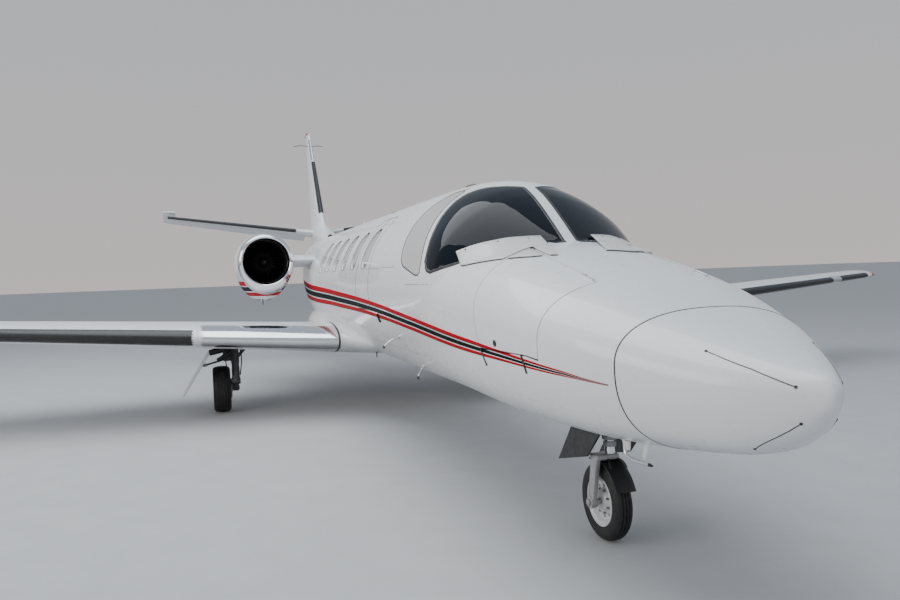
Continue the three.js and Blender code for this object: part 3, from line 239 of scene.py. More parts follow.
@dataclass
class Wing(Form):
    """A tapered surface along Y: rows of (|y|, leading edge, chord, z, ratio, fall, inset)."""

    rows: Sequence[tuple[float, ...]]
    camber: float = 0.0
    turn: Matrix | None = None

    def laid(self, y: np.ndarray) -> list[np.ndarray]:
        """Every column of the rows at places along the span."""
        table = np.array(self.rows, float)
        return [np.interp(y, table[:, 0], table[:, k]) for k in range(1, table.shape[1])]

    def value(self, p: np.ndarray) -> np.ndarray:
        """Squared height above the camber line less the squared half thickness."""
        if self.turn is not None:
            m = np.array(self.turn.inverted())
            p = p @ m[:3, :3].T + m[:3, 3]
        le, chord, z, ratio, fall, inset = self.laid(np.abs(p[:, 1]))
        small, thin = chord - 2 * inset, ratio * (1 - inset / 0.160)
        aft = NOSE_X - p[:, 0] - le - inset
        part = aft / small
        line = z + 4 * self.camber * small * part * (1 - part) - (inset + aft) * fall
        return ((p[:, 2] - line) ** 2 - half_thickness(part, thin, small)) / 0.05

    def outline(self, y: float, up: float, down: float, count: int = 12) -> np.ndarray:
        """Points round the leading edge of one section.

        Args:
            y: place along the span, signed.
            up: how far aft the upper end lies, in metres.
            down: how far aft the lower end lies.
            count: points on each of the two halves.

        Returns:
            Rows of points from the upper end round the edge to the lower end.
        """
        le, chord, z, ratio, fall, inset = (float(v[0]) for v in self.laid(np.abs(np.array([y]))))
        small, thin = chord - 2 * inset, ratio * (1 - inset / 0.160)
        t = np.linspace(0, 1, count) ** 2
        aft = np.concatenate([t[::-1] * up, t[1:] * down])
        sign = np.concatenate([np.ones(count), -np.ones(count - 1)])
        part = aft / small
        line = z + 4 * self.camber * small * part * (1 - part) - (inset + aft) * fall
        height = np.sqrt(half_thickness(part, np.full_like(part, thin), np.full_like(part, small)))
        return np.stack([NOSE_X - le - inset - aft, np.full(aft.shape, y), line + sign * height], 1)


class Fin(Form):
    """The upright surface: rows of (z, leading edge, trailing edge, half) in millimetres."""

    def __init__(self, rows: Sequence[tuple[float, ...]]) -> None:
        """Reads the rows."""
        self.table = np.array(rows, float) / 1000

    def value(self, p: np.ndarray) -> np.ndarray:
        """Squared distance from the middle plane less the squared half thickness."""
        le, te, half = (np.interp(p[:, 2], self.table[:, 0], self.table[:, k]) for k in (1, 2, 3))
        chord = te - le
        part = (NOSE_X - p[:, 0] - le) / chord
        return (p[:, 1] ** 2 - half_thickness(part, 2 * half / chord, chord)) / 0.05

    def outline(self, z: float, reach: float, count: int = 10) -> np.ndarray:
        """Points round the leading edge at one height, from starboard to port."""
        le, te, half = (float(np.interp(z, self.table[:, 0], self.table[:, k])) for k in (1, 2, 3))
        chord = te - le
        t = np.linspace(0, 1, count) ** 2 * reach
        aft = np.concatenate([t[::-1], t[1:]])
        sign = np.concatenate([-np.ones(count), np.ones(count - 1)])
        height = np.sqrt(half_thickness(aft / chord, np.full_like(aft, 2 * half / chord),
                                        np.full_like(aft, chord)))
        return np.stack([NOSE_X - le - aft, sign * height, np.full(aft.shape, z)], 1)


@dataclass
class Duct(Form):
    """The inside of an engine's intake: rows of (aft of the inlet plane, radius) in millimetres."""

    rows: Sequence[tuple[float, float]]
    y: float
    z: float
    inlet: float

    def value(self, p: np.ndarray) -> np.ndarray:
        """How far points are inside the duct's wall."""
        table = np.array(self.rows, float) / 1000
        r = np.hypot(p[:, 1] - self.y, p[:, 2] - self.z)
        return np.interp(NOSE_X - p[:, 0] - self.inlet, table[:, 0], table[:, 1]) - r


NOSE_BODY = [
    (0, 1078, 1090, 6, 1084, 2), (40, 1006, 1152, 62, 1081, 2.1), (140, 907, 1188, 153, 1082, 2.2),
    (350, 803, 1266, 315, 1090, 2.3), (700, 750, 1386, 502, 1150, 2.35), (1250, 703, 1558, 670, 1235, 2.35),
    (2000, 676, 1738, 742, 1325, 2.3), (2600, 667, 1840, 782, 1400, 2.15), (3300, 662, 1950, 811, 1470, 2.02),
]
CABIN_BODY = [
    (2090, 1500, 1742, 60, 1560, 2), (2200, 1350, 1824, 400, 1525, 2), (2300, 1250, 1900, 550, 1510, 2),
    (2400, 1150, 1973, 655, 1500, 2), (2500, 1050, 2042, 733, 1490, 2), (2600, 950, 2104, 782, 1482, 2),
    (2750, 800, 2175, 806, 1476, 2), (2950, 700, 2234, 812, 1473, 2), (3300, 660, 2270, 815, 1472, 2),
    (3900, 658, 2285, 815, 1472, 2), (8000, 658, 2285, 815, 1472, 2), (8800, 712, 2285, 800, 1490, 2),
    (9600, 880, 2283, 748, 1570, 2), (10600, 1165, 2278, 640, 1705, 2), (11600, 1450, 2270, 505, 1845, 2),
    (12600, 1705, 2258, 355, 1965, 2), (13500, 1895, 2235, 222, 2055, 2), (14100, 2000, 2205, 130, 2100, 2),
    (14250, 2052, 2160, 58, 2106, 2),
]
FAIRING = [
    (5350, 880, 930, 300, 905, 2), (5600, 790, 1040, 590, 905, 2.2), (5900, 742, 1150, 712, 905, 2.3),
    (6300, 700, 1230, 768, 910, 2.4), (7000, 645, 1285, 805, 915, 2.5), (7800, 618, 1310, 824, 920, 2.6),
    (8600, 615, 1290, 822, 920, 2.6), (9100, 665, 1220, 765, 925, 2.5), (9700, 800, 1100, 540, 935, 2.3),
]
FIN_ROWS = [
    (2080, 10900, 14120, 190), (2300, 11250, 14125, 172), (2420, 11800, 14130, 168),
            (2560, 12300, 14140, 130),
    (2680, 12425, 14153, 92), (4470, 13790, 14390, 36), (4540, 13862, 14378, 26), (4570, 13950, 14330, 10),
]
COWL = [
    (0, 320, 320, 320), (8, 338, 338, 345), (40, 352, 356, 395), (130, 362, 372, 440), (400, 371, 388, 505),
    (800, 373, 392, 546), (1300, 362, 380, 535), (1800, 328, 345, 452), (2150, 292, 302, 348),
    (2350, 276, 280, 292),
]
INTAKE = [(-5, 322), (0, 316), (12, 303), (50, 291), (130, 287), (660, 284)]
ENGINE_S, ENGINE_Y, ENGINE_Z = 8.150, 1.400, 1.830


def wing_rows() -> list[tuple[float, ...]]:
    """Rows of the wing, with the insets that round its tip."""
    made = []
    for y, inset in ((0.5, 0), (7.79, 0), (7.84, 0.009), (7.88, 0.022), (7.93, 0.062), (7.95, 0.105)):
        t = (y - 0.9) / 6.89
        fall = math.tan(math.radians(2.2 - 2.7 * t))
        made.append((y, 6.3 + 0.99 * t, 2.45 - 1.45 * t, 0.889 + 0.439 * t, 0.14 - 0.02 * t, fall, inset))
    dense = []
    for a, b in zip(made, made[1:]):
        dense += [tuple(np.array(a) + (np.array(b) - np.array(a)) * k) for k in np.linspace(0, 1, 6)[:-1]]
    return dense + [made[-1]]


def tail_rows() -> list[tuple[float, ...]]:
    """Rows of the stabilizer."""
    made = []
    for y, inset in ((0.0, 0), (2.82, 0), (2.86, 0.014), (2.895, 0.042)):
        t = y / 2.86
        made.append((y, 12.76 + 0.54 * t, 1.29 - 0.53 * t, 2.452 + 0.388 * t, 0.10 - 0.01 * t, 0.0, inset))
    return made


HULL, BELT_HULL, FAIR, FIN = Fuselage(), Fuselage(-0.0103), Hull(FAIRING), Fin(FIN_ROWS)
WING, TAIL = Wing(wing_rows(), 0.012), Wing(tail_rows())


def cowl_form(side: Side) -> Hull:
    """The cowling's outer form on one side."""
    rows = [(8150 + a, 1830 - d, 1830 + u, h, 1830, 2) for a, h, u, d in COWL]
    return Hull(rows, 0.0, ENGINE_Y * side.value)


def drooped_tail(side: Side) -> Wing:
    """The stabilizer's form turned about the elevator's hinge, as the parked elevator hangs."""
    ends = []
    for y in (0.2, 2.64):
        t = y / 2.86
        chord = 1.29 - 0.53 * t
        ends.append(Vector((NOSE_X - 12.76 - 0.54 * t - 0.62 * chord, y * side.value, 2.452 + 0.388 * t)))
    axis = (ends[1] - ends[0]).normalized() * side.value
    turn = Matrix.Translation(ends[0]) @ Matrix.Rotation(math.radians(-13), 4,
                                                         axis) @ Matrix.Translation(-ends[0])
    return Wing(tail_rows(), 0.0, turn)


class Pylon(Form):
    """The engine's pylon, one flat aerofoil along Y."""

    def value(self, p: np.ndarray) -> np.ndarray:
        """Squared height less the squared half thickness."""
        part = (NOSE_X - p[:, 0] - 8.62) / 1.85
        one = np.ones_like(part)
        return ((p[:, 2] - 1.845) ** 2 - half_thickness(part, 0.095 * one, 1.85 * one)) / 0.05


# Finishes.

Value = float | Sequence[float] | bpy.types.NodeSocket


class Graph:
    """A material's nodes, written as short calls that return output sockets."""

    def __init__(self, name: str) -> None:
        """Starts a material with Object coordinates at hand."""
        self.material = bpy.data.materials.new(name)
        self.material.use_nodes = True
        self.nodes, self.links = self.material.node_tree.nodes, self.material.node_tree.links
        self.nodes.clear()
        self.place = self.nodes.new("ShaderNodeTexCoord").outputs["Object"]
        self.parts = self.nodes.new("ShaderNodeSeparateXYZ")
        self.links.new(self.place, self.parts.inputs[0])

    def feed(self, socket: bpy.types.NodeSocket, value: Value) -> None:
        """Links a socket, or sets its own value."""
        if isinstance(value, bpy.types.NodeSocket):
            self.links.new(value, socket)
        elif hasattr(value, "__len__") and len(value) == 3 and socket.type == "RGBA":
            socket.default_value = (*value, 1)
        else:
            socket.default_value = value

    def axis(self, name: str) -> bpy.types.NodeSocket:
        """One of the Object coordinates X, Y or Z."""
        return self.parts.outputs[name]

    def math(self, operation: str, a: Value, b: Value = 0.0, c: Value = 0.0) -> bpy.types.NodeSocket:
        """One arithmetic step."""
        node = self.nodes.new("ShaderNodeMath")
        node.operation = operation
        for socket, value in zip(node.inputs, (a, b, c)):
            self.feed(socket, value)
        return node.outputs[0]

    def spread(self, value: Value, low: float, high: float,
               to: tuple[float, float] = (0.0, 1.0)) -> bpy.types.NodeSocket:
        """Maps a range of values onto another one, held at its ends."""
        node = self.nodes.new("ShaderNodeMapRange")
        for socket, part in zip(node.inputs, (value, low, high, *to)):
            self.feed(socket, part)
        return node.outputs[0]

    def noise(self, scale: float, detail: float = 3.0, stretch: Point = (1, 1, 1),
              rough: float = 0.55) -> bpy.types.NodeSocket:
        """Fractal noise on Object coordinates, from about 0.3 to 0.7."""
        move = self.nodes.new("ShaderNodeMapping")
        self.links.new(self.place, move.inputs[0])
        move.inputs["Scale"].default_value = stretch
        node = self.nodes.new("ShaderNodeTexNoise")
        self.links.new(move.outputs[0], node.inputs["Vector"])
        for key, value in (("Scale", scale), ("Detail", detail), ("Roughness", rough)):
            node.inputs[key].default_value = value
        return node.outputs[0]

    def cells(self, scale: float, stretch: Point = (1, 1, 1), feature: str = "F1") -> bpy.types.NodeSocket:
        """Distance to the nearest of many scattered points."""
        move = self.nodes.new("ShaderNodeMapping")
        self.links.new(self.place, move.inputs[0])
        move.inputs["Scale"].default_value = stretch
        node = self.nodes.new("ShaderNodeTexVoronoi")
        node.feature = feature
        self.links.new(move.outputs[0], node.inputs["Vector"])
        node.inputs["Scale"].default_value = scale
        return node.outputs[0]

    def mix(self, share: Value, a: Value, b: Value, way: str = "MIX") -> bpy.types.NodeSocket:
        """A blend of two colours."""
        node = self.nodes.new("ShaderNodeMix")
        node.data_type = "RGBA"
        node.blend_type = way
        self.feed(node.inputs["Factor"], share)
        self.feed(node.inputs[6], a)
        self.feed(node.inputs[7], b)
        return node.outputs[2]

    def curve(self, value: Value, points: Sequence[tuple[float, float]]) -> bpy.types.NodeSocket:
        """A smooth curve through points whose places and values run from 0 to 1."""
        node = self.nodes.new("ShaderNodeFloatCurve")
        line = node.mapping.curves[0]
        while len(line.points) < len(points):
            line.points.new(0.5, 0.5)
        for point, (x, y) in zip(line.points, points):
            point.location = (x, y)
            point.handle_type = "AUTO_CLAMPED"
        node.mapping.update()
        self.feed(node.inputs["Value"], value)
        return node.outputs[0]

    def bump(self, height: Value, depth: float, after: Value | None = None) -> bpy.types.NodeSocket:
        """A bump from a height that runs from 0 to 1, deep by a distance in metres."""
        node = self.nodes.new("ShaderNodeBump")
        node.inputs["Distance"].default_value = depth
        node.inputs["Strength"].default_value = 1.0
        self.feed(node.inputs["Height"], height)
        if after is not None:
            self.links.new(after, node.inputs["Normal"])
        return node.outputs[0]

    def finish(self, shader: dict[str, Value]) -> bpy.types.Material:
        """Closes the tree with one Principled shader and returns the material."""
        node = self.nodes.new("ShaderNodeBsdfPrincipled")
        for key, value in shader.items():
            self.feed(node.inputs[key], value)
        end = self.nodes.new("ShaderNodeOutputMaterial")
        self.links.new(node.outputs[0], end.inputs[0])
        colour = shader.get("Base Color", (0.8, 0.8, 0.8))
        plain = (0.8, 0.8, 0.8) if isinstance(colour, bpy.types.NodeSocket) else tuple(colour)
        self.material.diffuse_color = (*plain, 1)
        return self.material


class Finish:
    """A finish that makes its material once and hands it out again."""

    _made: dict[str, bpy.types.Material] = {}

    def material(self) -> bpy.types.Material:
        """The finish's material, made on first use."""
        if self.name not in Finish._made:
            Finish._made[self.name] = self.make()
        return Finish._made[self.name]

    def make(self) -> bpy.types.Material:
        """Builds the material."""
        raise NotImplementedError


@dataclass(frozen=True)
class Band:
    """A band of stripes on the white paint, as places along X and heights, in metres."""

    heights: tuple[tuple[float, float], ...]
    halves: tuple[tuple[float, float], ...]
    layout: tuple[tuple[float, float, Colour], ...]
    front: float
    aft: float


RED: Colour = (0.40, 0.006, 0.014)
DARK: Colour = (0.006, 0.012, 0.011)
THREE_LINES = ((0.0, 0.30, RED), (0.365, 0.665, DARK), (0.735, 1.0, RED))
CHEAT_LINE = Band(
    heights=((0.5, 1.0547), (0.8, 1.0739), (1.05, 1.1007), (2.3, 1.1742), (3.3, 1.2428), (4.4, 1.2991),
             (6.5, 1.3537), (8.6, 1.3996), (10.2, 1.503), (11.6, 1.6975), (13, 1.938), (14.2, 2.0964),),
    halves=((0.5, 0.0013), (0.8, 0.0046), (1.05, 0.0143), (1.6, 0.0299), (2.3, 0.0468), (4.4, 0.0689),
            (6.5, 0.0923), (8.6, 0.1144), (10.2, 0.117), (11.6, 0.0975), (13, 0.052), (14.2, 0.0156),),
    layout=THREE_LINES, front=0.76, aft=14.0,
)
COWL_LINE = Band(
    heights=((8.1, 1.472), (8.9, 1.472), (9.6, 1.50), (10.5, 1.60)),
    halves=((8.1, 0.102), (8.9, 0.102), (9.6, 0.08), (10.5, 0.03)),
    layout=THREE_LINES, front=8.285, aft=10.45,
)


@dataclass(frozen=True)
class Paint(Finish):
    """Glossy aircraft paint with orange peel, faint dirt, sheet joints and rivets.

    Fields:
        joints: lines as (x, |y|, z factors, offset, half width), in metres.
        frames: spacing along X of the rivet rows round the body, or 0.
        ribs: spacing along Y of the rivet rows along a wing, or 0.
    """

    name: str
    colour: Colour = (0.80, 0.815, 0.83)
    band: Band | None = None
    joints: tuple[tuple[float, float, float, float, float], ...] = ()
    frames: float = 0.0
    ribs: float = 0.0
    rough: float = 0.32
    coat: float = 0.45

    def make(self) -> bpy.types.Material:
        """Builds the paint."""
        g = Graph(self.name)
        fade = g.spread(g.noise(1.3, 3), 0.35, 0.7)
        base = g.mix(g.math("MULTIPLY", fade, 0.5), self.colour, tuple(c * 0.955 for c in self.colour))
        grime = g.spread(g.noise(3.0, 5, (0.35, 1, 2.2), 0.65), 0.52, 0.78)
        low = g.spread(g.axis("Z"), 1.0, 0.62)
        share = g.math("MULTIPLY", grime, g.math("MULTIPLY_ADD", low, 0.13, 0.012))
        base = g.mix(share, base, (0.34, 0.31, 0.27))
        stripe: Value = 0.0
        if self.band is not None:
            base, stripe = self._striped(g, base, self.band)
        line = self._lines(g)
        if line is not None:
            base = g.mix(g.math("MULTIPLY", line, 0.55), base, (0.11, 0.11, 0.12))
        wave = g.bump(g.noise(4.0, 2), 0.0004)
        normal = wave if line is None else g.bump(g.math("SUBTRACT", 1.0, line), 0.0004, wave)
        rough = g.spread(g.noise(16, 4), 0.3, 0.72, (self.rough - 0.07, self.rough + 0.09))
        shine = g.math("MULTIPLY_ADD", stripe, -self.coat, self.coat)
        level = g.math("MULTIPLY_ADD", stripe, -0.42, 0.45)
        rough = g.math("MULTIPLY_ADD", stripe, 0.18, rough)
        return g.finish({
            "Base Color": base, "Roughness": rough, "Normal": normal, "Coat Weight": shine,
                         "Coat Roughness": 0.05,
            "Specular IOR Level": level,
        })

    def _striped(self, g: Graph, base: Value, band: Band) -> tuple[Value, Value]:
        """Lays a band of stripes over a colour, and returns the result with a mask of the stripes."""
        s = g.math("SUBTRACT", NOSE_X, g.axis("X"))
        t = g.math("DIVIDE", s, 14.39)
        height = g.curve(t, [(a / 14.39, z / 3) for a, z in band.heights])
        half = g.curve(t, [(a / 14.39, h * 8) for a, h in band.halves])
        top = g.math("MULTIPLY_ADD", half, 0.125, g.math("MULTIPLY", height, 3.0))
        down = g.math("DIVIDE", g.math("SUBTRACT", top, g.axis("Z")), g.math("MULTIPLY", half, 0.25))
        along = g.math("MULTIPLY", g.math("GREATER_THAN", s, band.front), g.math("LESS_THAN", s, band.aft))
        mask: Value = 0.0
        for low, high, colour in band.layout:
            inside = g.math("MULTIPLY", g.math("GREATER_THAN", down, low), g.math("LESS_THAN", down, high))
            inside = g.math("MULTIPLY", inside, along)
            base, mask = g.mix(inside, base, colour), g.math("ADD", inside, mask)
        return base, mask

    def _lines(self, g: Graph) -> Value | None:
        """One mask with every sheet joint and rivet head, or nothing."""
        made = None
        across_body = g.math("ABSOLUTE", g.axis("Y"))
        for fx, fy, fz, offset, half in self.joints:
            total = g.math("MULTIPLY_ADD", g.axis("X"), fx, g.math("MULTIPLY", across_body, fy))
            total = g.math("MULTIPLY_ADD", g.axis("Z"), fz, total)
            line = g.math("COMPARE", total, offset, half)
            made = line if made is None else g.math("MAXIMUM", made, line)
        for pitch, along, across in ((self.frames, "X", "Z"), (self.ribs, "Y", "X")):
            if not pitch:
                continue
            u = g.math("PINGPONG", g.axis(along), pitch / 2)
            v = g.math("PINGPONG", g.axis(across), 0.0125)
            spot = g.math("ADD", g.math("POWER", u, 2.0), g.math("POWER", v, 2.0))
            rivets = g.math("MULTIPLY", g.math("LESS_THAN", spot, 0.0018**2), 0.10)
            made = rivets if made is None else g.math("MAXIMUM", made, rivets)
        return made


@dataclass(frozen=True)
class Metal(Finish):
    """Bare or polished metal with brushed grain, smudges and a little oxide."""

    name: str
    colour: Colour = (0.55, 0.56, 0.58)
    rough: float = 0.25
    grain: Point = (1.0, 1.0, 1.0)
    stain: Colour = (0.20, 0.18, 0.16)
    dirt: float = 0.25

    def make(self) -> bpy.types.Material:
        """Builds the metal."""
        g = Graph(self.name)
        spots = g.spread(g.noise(9, 5, (1, 1, 1), 0.7), 0.48, 0.75)
        base = g.mix(g.math("MULTIPLY", spots, self.dirt), self.colour, self.stain)
        brushed = g.noise(260, 2, self.grain)
        rough = g.spread(brushed, 0.3, 0.7, (self.rough - 0.05, self.rough + 0.08))
        rough = g.math("ADD", rough, g.math("MULTIPLY", spots, 0.12))
        return g.finish({
            "Base Color": base, "Metallic": 1.0, "Roughness": rough, "Normal": g.bump(brushed, 0.00005),
        })


@dataclass(frozen=True)
class Coated(Finish):
    """Painted fittings, plastics and rubber: a coloured ground with grain, dust and scuffs."""

    name: str
    colour: Colour
    rough: float = 0.5
    grain: float = 120.0
    depth: float = 0.0002
    dust: Colour = (0.35, 0.33, 0.30)
    dirt: float = 0.15
    sheen: float = 0.0
    coat: float = 0.0

    def make(self) -> bpy.types.Material:
        """Builds the coating."""
        g = Graph(self.name)
        worn = g.spread(g.noise(14, 5, (1, 1, 1), 0.65), 0.46, 0.76)
        base = g.mix(g.math("MULTIPLY", worn, self.dirt), self.colour, self.dust)
        fine = g.noise(self.grain, 3)
        base = g.mix(g.spread(fine, 0.3, 0.7, (0.0, 0.25)), base, tuple(c * 0.75 for c in self.colour))
        rough = g.spread(g.noise(30, 4), 0.3, 0.7, (max(self.rough - 0.08, 0.02), min(self.rough + 0.1, 1.0)))
        return g.finish({
            "Base Color": base, "Roughness": rough, "Normal": g.bump(fine, self.depth),
            "Sheen Weight": self.sheen, "Coat Weight": self.coat, "Coat Roughness": 0.08,
        })


@dataclass(frozen=True)
class Boot(Finish):
    """Black rubber of a de-icing boot, with its inflating tubes as faint ridges."""

    name: str
    across: str = "Z"
    pitch: float = 0.02

    def make(self) -> bpy.types.Material:
        """Builds the rubber."""
        g = Graph(self.name)
        tube = g.math("PINGPONG", g.axis(self.across), self.pitch / 2)
        ridge = g.spread(tube, 0.0, 0.0025)
        scuff = g.spread(g.noise(20, 5, (1, 1, 1), 0.7), 0.5, 0.8)
        base = g.mix(g.math("MULTIPLY", scuff, 0.22), (0.012, 0.012, 0.013), (0.075, 0.073, 0.07))
        rough = g.spread(g.noise(40, 3), 0.3, 0.7, (0.30, 0.46))
        normal = g.bump(g.noise(500, 2), 0.00004, g.bump(ridge, 0.0004))
        return g.finish({"Base Color": base, "Roughness": rough, "Normal": normal, "Coat Weight": 0.15,
                         "Coat Roughness": 0.25})


@dataclass(frozen=True)
class Glass(Finish):
    """Tinted acrylic with polish haze; its metallic share paints a reflection onto the pane."""

    name: str
    colour: Colour = (0.30, 0.33, 0.36)
    see_through: float = 1.0
    ior: float = 1.5
    mirror: float = 0.0
    level: float = 0.5

    def make(self) -> bpy.types.Material:
        """Builds the pane."""
        g = Graph(self.name)
        haze = g.spread(g.noise(11, 5, (1, 1, 1), 0.7), 0.45, 0.8, (0.0, 0.035))
        tint = g.mix(g.spread(g.noise(2.5, 2), 0.3, 0.7), self.colour, tuple(c * 0.9 for c in self.colour))
        return g.finish({
            "Base Color": tint, "Roughness": haze, "IOR": self.ior, "Transmission Weight": self.see_through,
            "Normal": g.bump(g.noise(3, 1), 0.0002), "Metallic": self.mirror,
                         "Specular IOR Level": self.level,
        })


@dataclass(frozen=True)
class Hide(Finish):
    """Upholstery leather with pebbled grain and darker creases."""

    name: str
    colour: Colour = (0.50, 0.42, 0.31)

    def make(self) -> bpy.types.Material:
        """Builds the leather."""
        g = Graph(self.name)
        grain = g.cells(330)
        fold = g.spread(g.noise(9, 4), 0.35, 0.7)
        base = g.mix(g.math("MULTIPLY", fold, 0.5), self.colour, tuple(c * 0.72 for c in self.colour))
        rough = g.spread(grain, 0.0, 0.7, (0.42, 0.62))
        normal = g.bump(grain, 0.0004, g.bump(g.noise(24, 3), 0.0012))
        return g.finish({"Base Color": base, "Roughness": rough, "Normal": normal, "Coat Weight": 0.12,
                         "Coat Roughness": 0.3})


@dataclass(frozen=True)
class Pile(Finish):
    """Cut-pile carpet."""

    name: str
    colour: Colour = (0.19, 0.165, 0.135)

    def make(self) -> bpy.types.Material:
        """Builds the carpet."""
        g = Graph(self.name)
        tuft = g.cells(420)
        base = g.mix(g.spread(tuft, 0.0, 0.6), self.colour, tuple(c * 0.45 for c in self.colour))
        base = g.mix(g.math("MULTIPLY", g.spread(g.noise(6, 3), 0.4, 0.7), 0.3), base,
                     tuple(c * 1.35 for c in self.colour))
        rough = g.spread(g.noise(30, 2), 0.3, 0.7, (0.85, 1.0))
        return g.finish({"Base Color": base, "Roughness": rough, "Normal": g.bump(tuft, 0.003),
                         "Sheen Weight": 0.4})


@dataclass(frozen=True)
class Lamp(Finish):
    """A coloured lens over a lamp, with moulded prisms."""

    name: str
    colour: Colour

    def make(self) -> bpy.types.Material:
        """Builds the lens."""
        g = Graph(self.name)
        prism = g.math("PINGPONG", g.axis("Z"), 0.003)
        base = g.mix(g.spread(prism, 0.0, 0.003), self.colour, tuple(c * 0.7 for c in self.colour))
        rough = g.spread(g.noise(60, 2), 0.3, 0.7, (0.04, 0.12))
        return g.finish({
            "Base Color": base, "Roughness": rough, "Normal": g.bump(prism, 0.3), "Transmission Weight": 0.35,
            "Coat Weight": 0.6, "Coat Roughness": 0.03,
        })


WHITE = Paint("white_fuselage", band=CHEAT_LINE, frames=0.508)
NOSE_WHITE = Paint("white_nose", band=CHEAT_LINE)
WING_WHITE = Paint("white_wing", ribs=0.42, joints=(
    (1.0, 0.145, 0.0, 0.41 + 0.13, 0.0011), (1.0, -0.03, 0.0, -0.73, 0.0011), (0.0, 1.0, 0.0, 4.60, 0.0012),
    (0.0, 1.0, 0.0, 2.29, 0.0012), (0.0, 1.0, 0.0, 6.05, 0.0010),
))
TAIL_WHITE = Paint("white_tail", ribs=0.36, joints=((0.0, 1.0, 0.0, 1.45, 0.001),
                                                    (1.0, 0.17, 0.0, -5.98, 0.001)))
FIN_WHITE = Paint("white_fin", joints=((0.35, 0.0, 1.0, 0.95, 0.001), (0.0, 0.0, 1.0, 3.28, 0.001),
                                       (0.0, 0.0, 1.0, 3.86, 0.001)))
COWL_WHITE = Paint("white_cowl", band=COWL_LINE, joints=(
    (1.0, 0.0, 0.0, NOSE_X - 8.93, 0.0012), (1.0, 0.0, 0.0, NOSE_X - 9.92, 0.0012),
                                                         (0.0, 0.0, 1.0, 1.86, 0.0010),
))
PLAIN_WHITE = Paint("white_plain")
POLISHED = Metal("polished_metal", (0.78, 0.79, 0.81), 0.09, dirt=0.10)
SATIN = Metal("satin_metal", (0.60, 0.61, 0.63), 0.30, (1, 1, 6))
CHROME = Metal("chrome", (0.80, 0.80, 0.82), 0.06, dirt=0.05)
STEEL = Metal("engine_steel", (0.30, 0.30, 0.31), 0.33, dirt=0.4)
HOT_METAL = Metal("exhaust_metal", (0.33, 0.28, 0.24), 0.38, stain=(0.06, 0.05, 0.05), dirt=0.6)
# Fan blades: near-black metal, painted shade for the dark inside of the intake.
SHADED_BLADE_METAL = Metal("shaded_blade_metal", (0.075, 0.076, 0.08), 0.36, (1, 1, 1), dirt=0.2)
# Intake's inner wall: near-black painted shade for the dark inside of the duct.
DUCT_PAINTED_SHADE = Coated("duct_painted_shade", (0.018, 0.019, 0.021), 0.5, 90, 0.0001)
GEAR_DARK = Coated("gear_dark", (0.055, 0.057, 0.06), 0.4, 200, 0.00005, (0.16, 0.15, 0.14), 0.35)
DOOR_WHITE = Coated("door_white", (0.62, 0.63, 0.635), 0.35, 220, 0.00003, (0.20, 0.19, 0.17), 0.2, coat=0.4)
GEAR_GREY = Coated("gear_grey", (0.33, 0.335, 0.34), 0.35, 200, 0.00005, (0.12, 0.11, 0.10), 0.35, coat=0.3)
RIM_WHITE = Coated("rim_white", (0.62, 0.63, 0.63), 0.32, 200, 0.00005, (0.10, 0.09, 0.08), 0.4, coat=0.4)
SATIN_BLACK = Coated("satin_black", (0.010, 0.010, 0.011), 0.42, 160, 0.00008, (0.06, 0.058, 0.055), 0.18)
SEAL = Coated("sealant", (0.022, 0.023, 0.025), 0.55, 200, 0.00008)
SEAM = Coated("seam_grey", (0.16, 0.165, 0.17), 0.5, 200, 0.00005)
RUBBER = Coated("tyre_rubber", (0.012, 0.012, 0.0125), 0.68, 160, 0.00035, (0.07, 0.066, 0.062), 0.28)
PRIMER = Coated("bay_primer", (0.30, 0.31, 0.30), 0.55, 90, 0.0001, (0.12, 0.11, 0.10), 0.35)
LINING = Coated("cabin_lining", (0.20, 0.19, 0.17), 0.7, 240, 0.00015, (0.40, 0.36, 0.30), 0.2)
TRIM = Coated("cabin_trim", (0.32, 0.27, 0.20), 0.45, 160, 0.0001, coat=0.2)
PANEL_BLACK = Coated("panel_black", (0.02, 0.02, 0.022), 0.6, 300, 0.0001)
SCREEN_GLASS = Coated("display_glass", (0.006, 0.008, 0.012), 0.08, 40, 0.00001, dirt=0.03, coat=0.8)
KNOB_GREY = Coated("knob_grey", (0.09, 0.09, 0.095), 0.45, 200, 0.0001)
BLADE_WHITE = Coated("antenna_white", (0.66, 0.66, 0.65), 0.35, 160, 0.00005, coat=0.4)
LEATHER, CARPET = Hide("cream_leather"), Pile("cabin_carpet")
WINDSCREEN_GLASS = Glass("windscreen_glass", (0.005, 0.008, 0.015), 0.30, ior=1.45, level=0.13)
INNER_GLASS = Glass("inner_glass", (0.012, 0.015, 0.02), 0.5, ior=1.45)
# Side and cabin panes: the pale colour with a metallic share paints the sky's bright reflection onto the
# glass.
SIDE_GLASS_PAINTED_REFLECTION = Glass("side_glass_painted_reflection", (0.88, 0.88, 0.87), 0.25, ior=1.5, mirror=0.45)
CABIN_GLASS_PAINTED_REFLECTION = Glass("cabin_glass_painted_reflection", (0.86, 0.87, 0.87), 0.25, ior=1.5, mirror=0.45)
LENS_RED, LENS_GREEN = Lamp("lens_red", (0.55, 0.02, 0.02)), Lamp("lens_green", (0.02, 0.42, 0.12))
LENS_CLEAR = Lamp("lens_clear", (0.75, 0.77, 0.78))
WING_BOOT, TAIL_BOOT = Boot("wing_boot", "Z", 0.018), Boot("tail_boot", "Z", 0.016)
FIN_BOOT = Boot("fin_boot", "Y", 0.014)


class Slot(Enum):
    """The record's material slots."""

    WHITE = "white_paint"
    TAIL = "tail_paint"
    RADOME = "radome_paint"
    POLISHED = "polished_metal"
    GLAZING = "glazing"
    ENGINE = "engine_metal"
    GEAR = "gear_paint"
    TYRE = "tyre_rubber"
    LEATHER = "leather"


# Modelling tools.


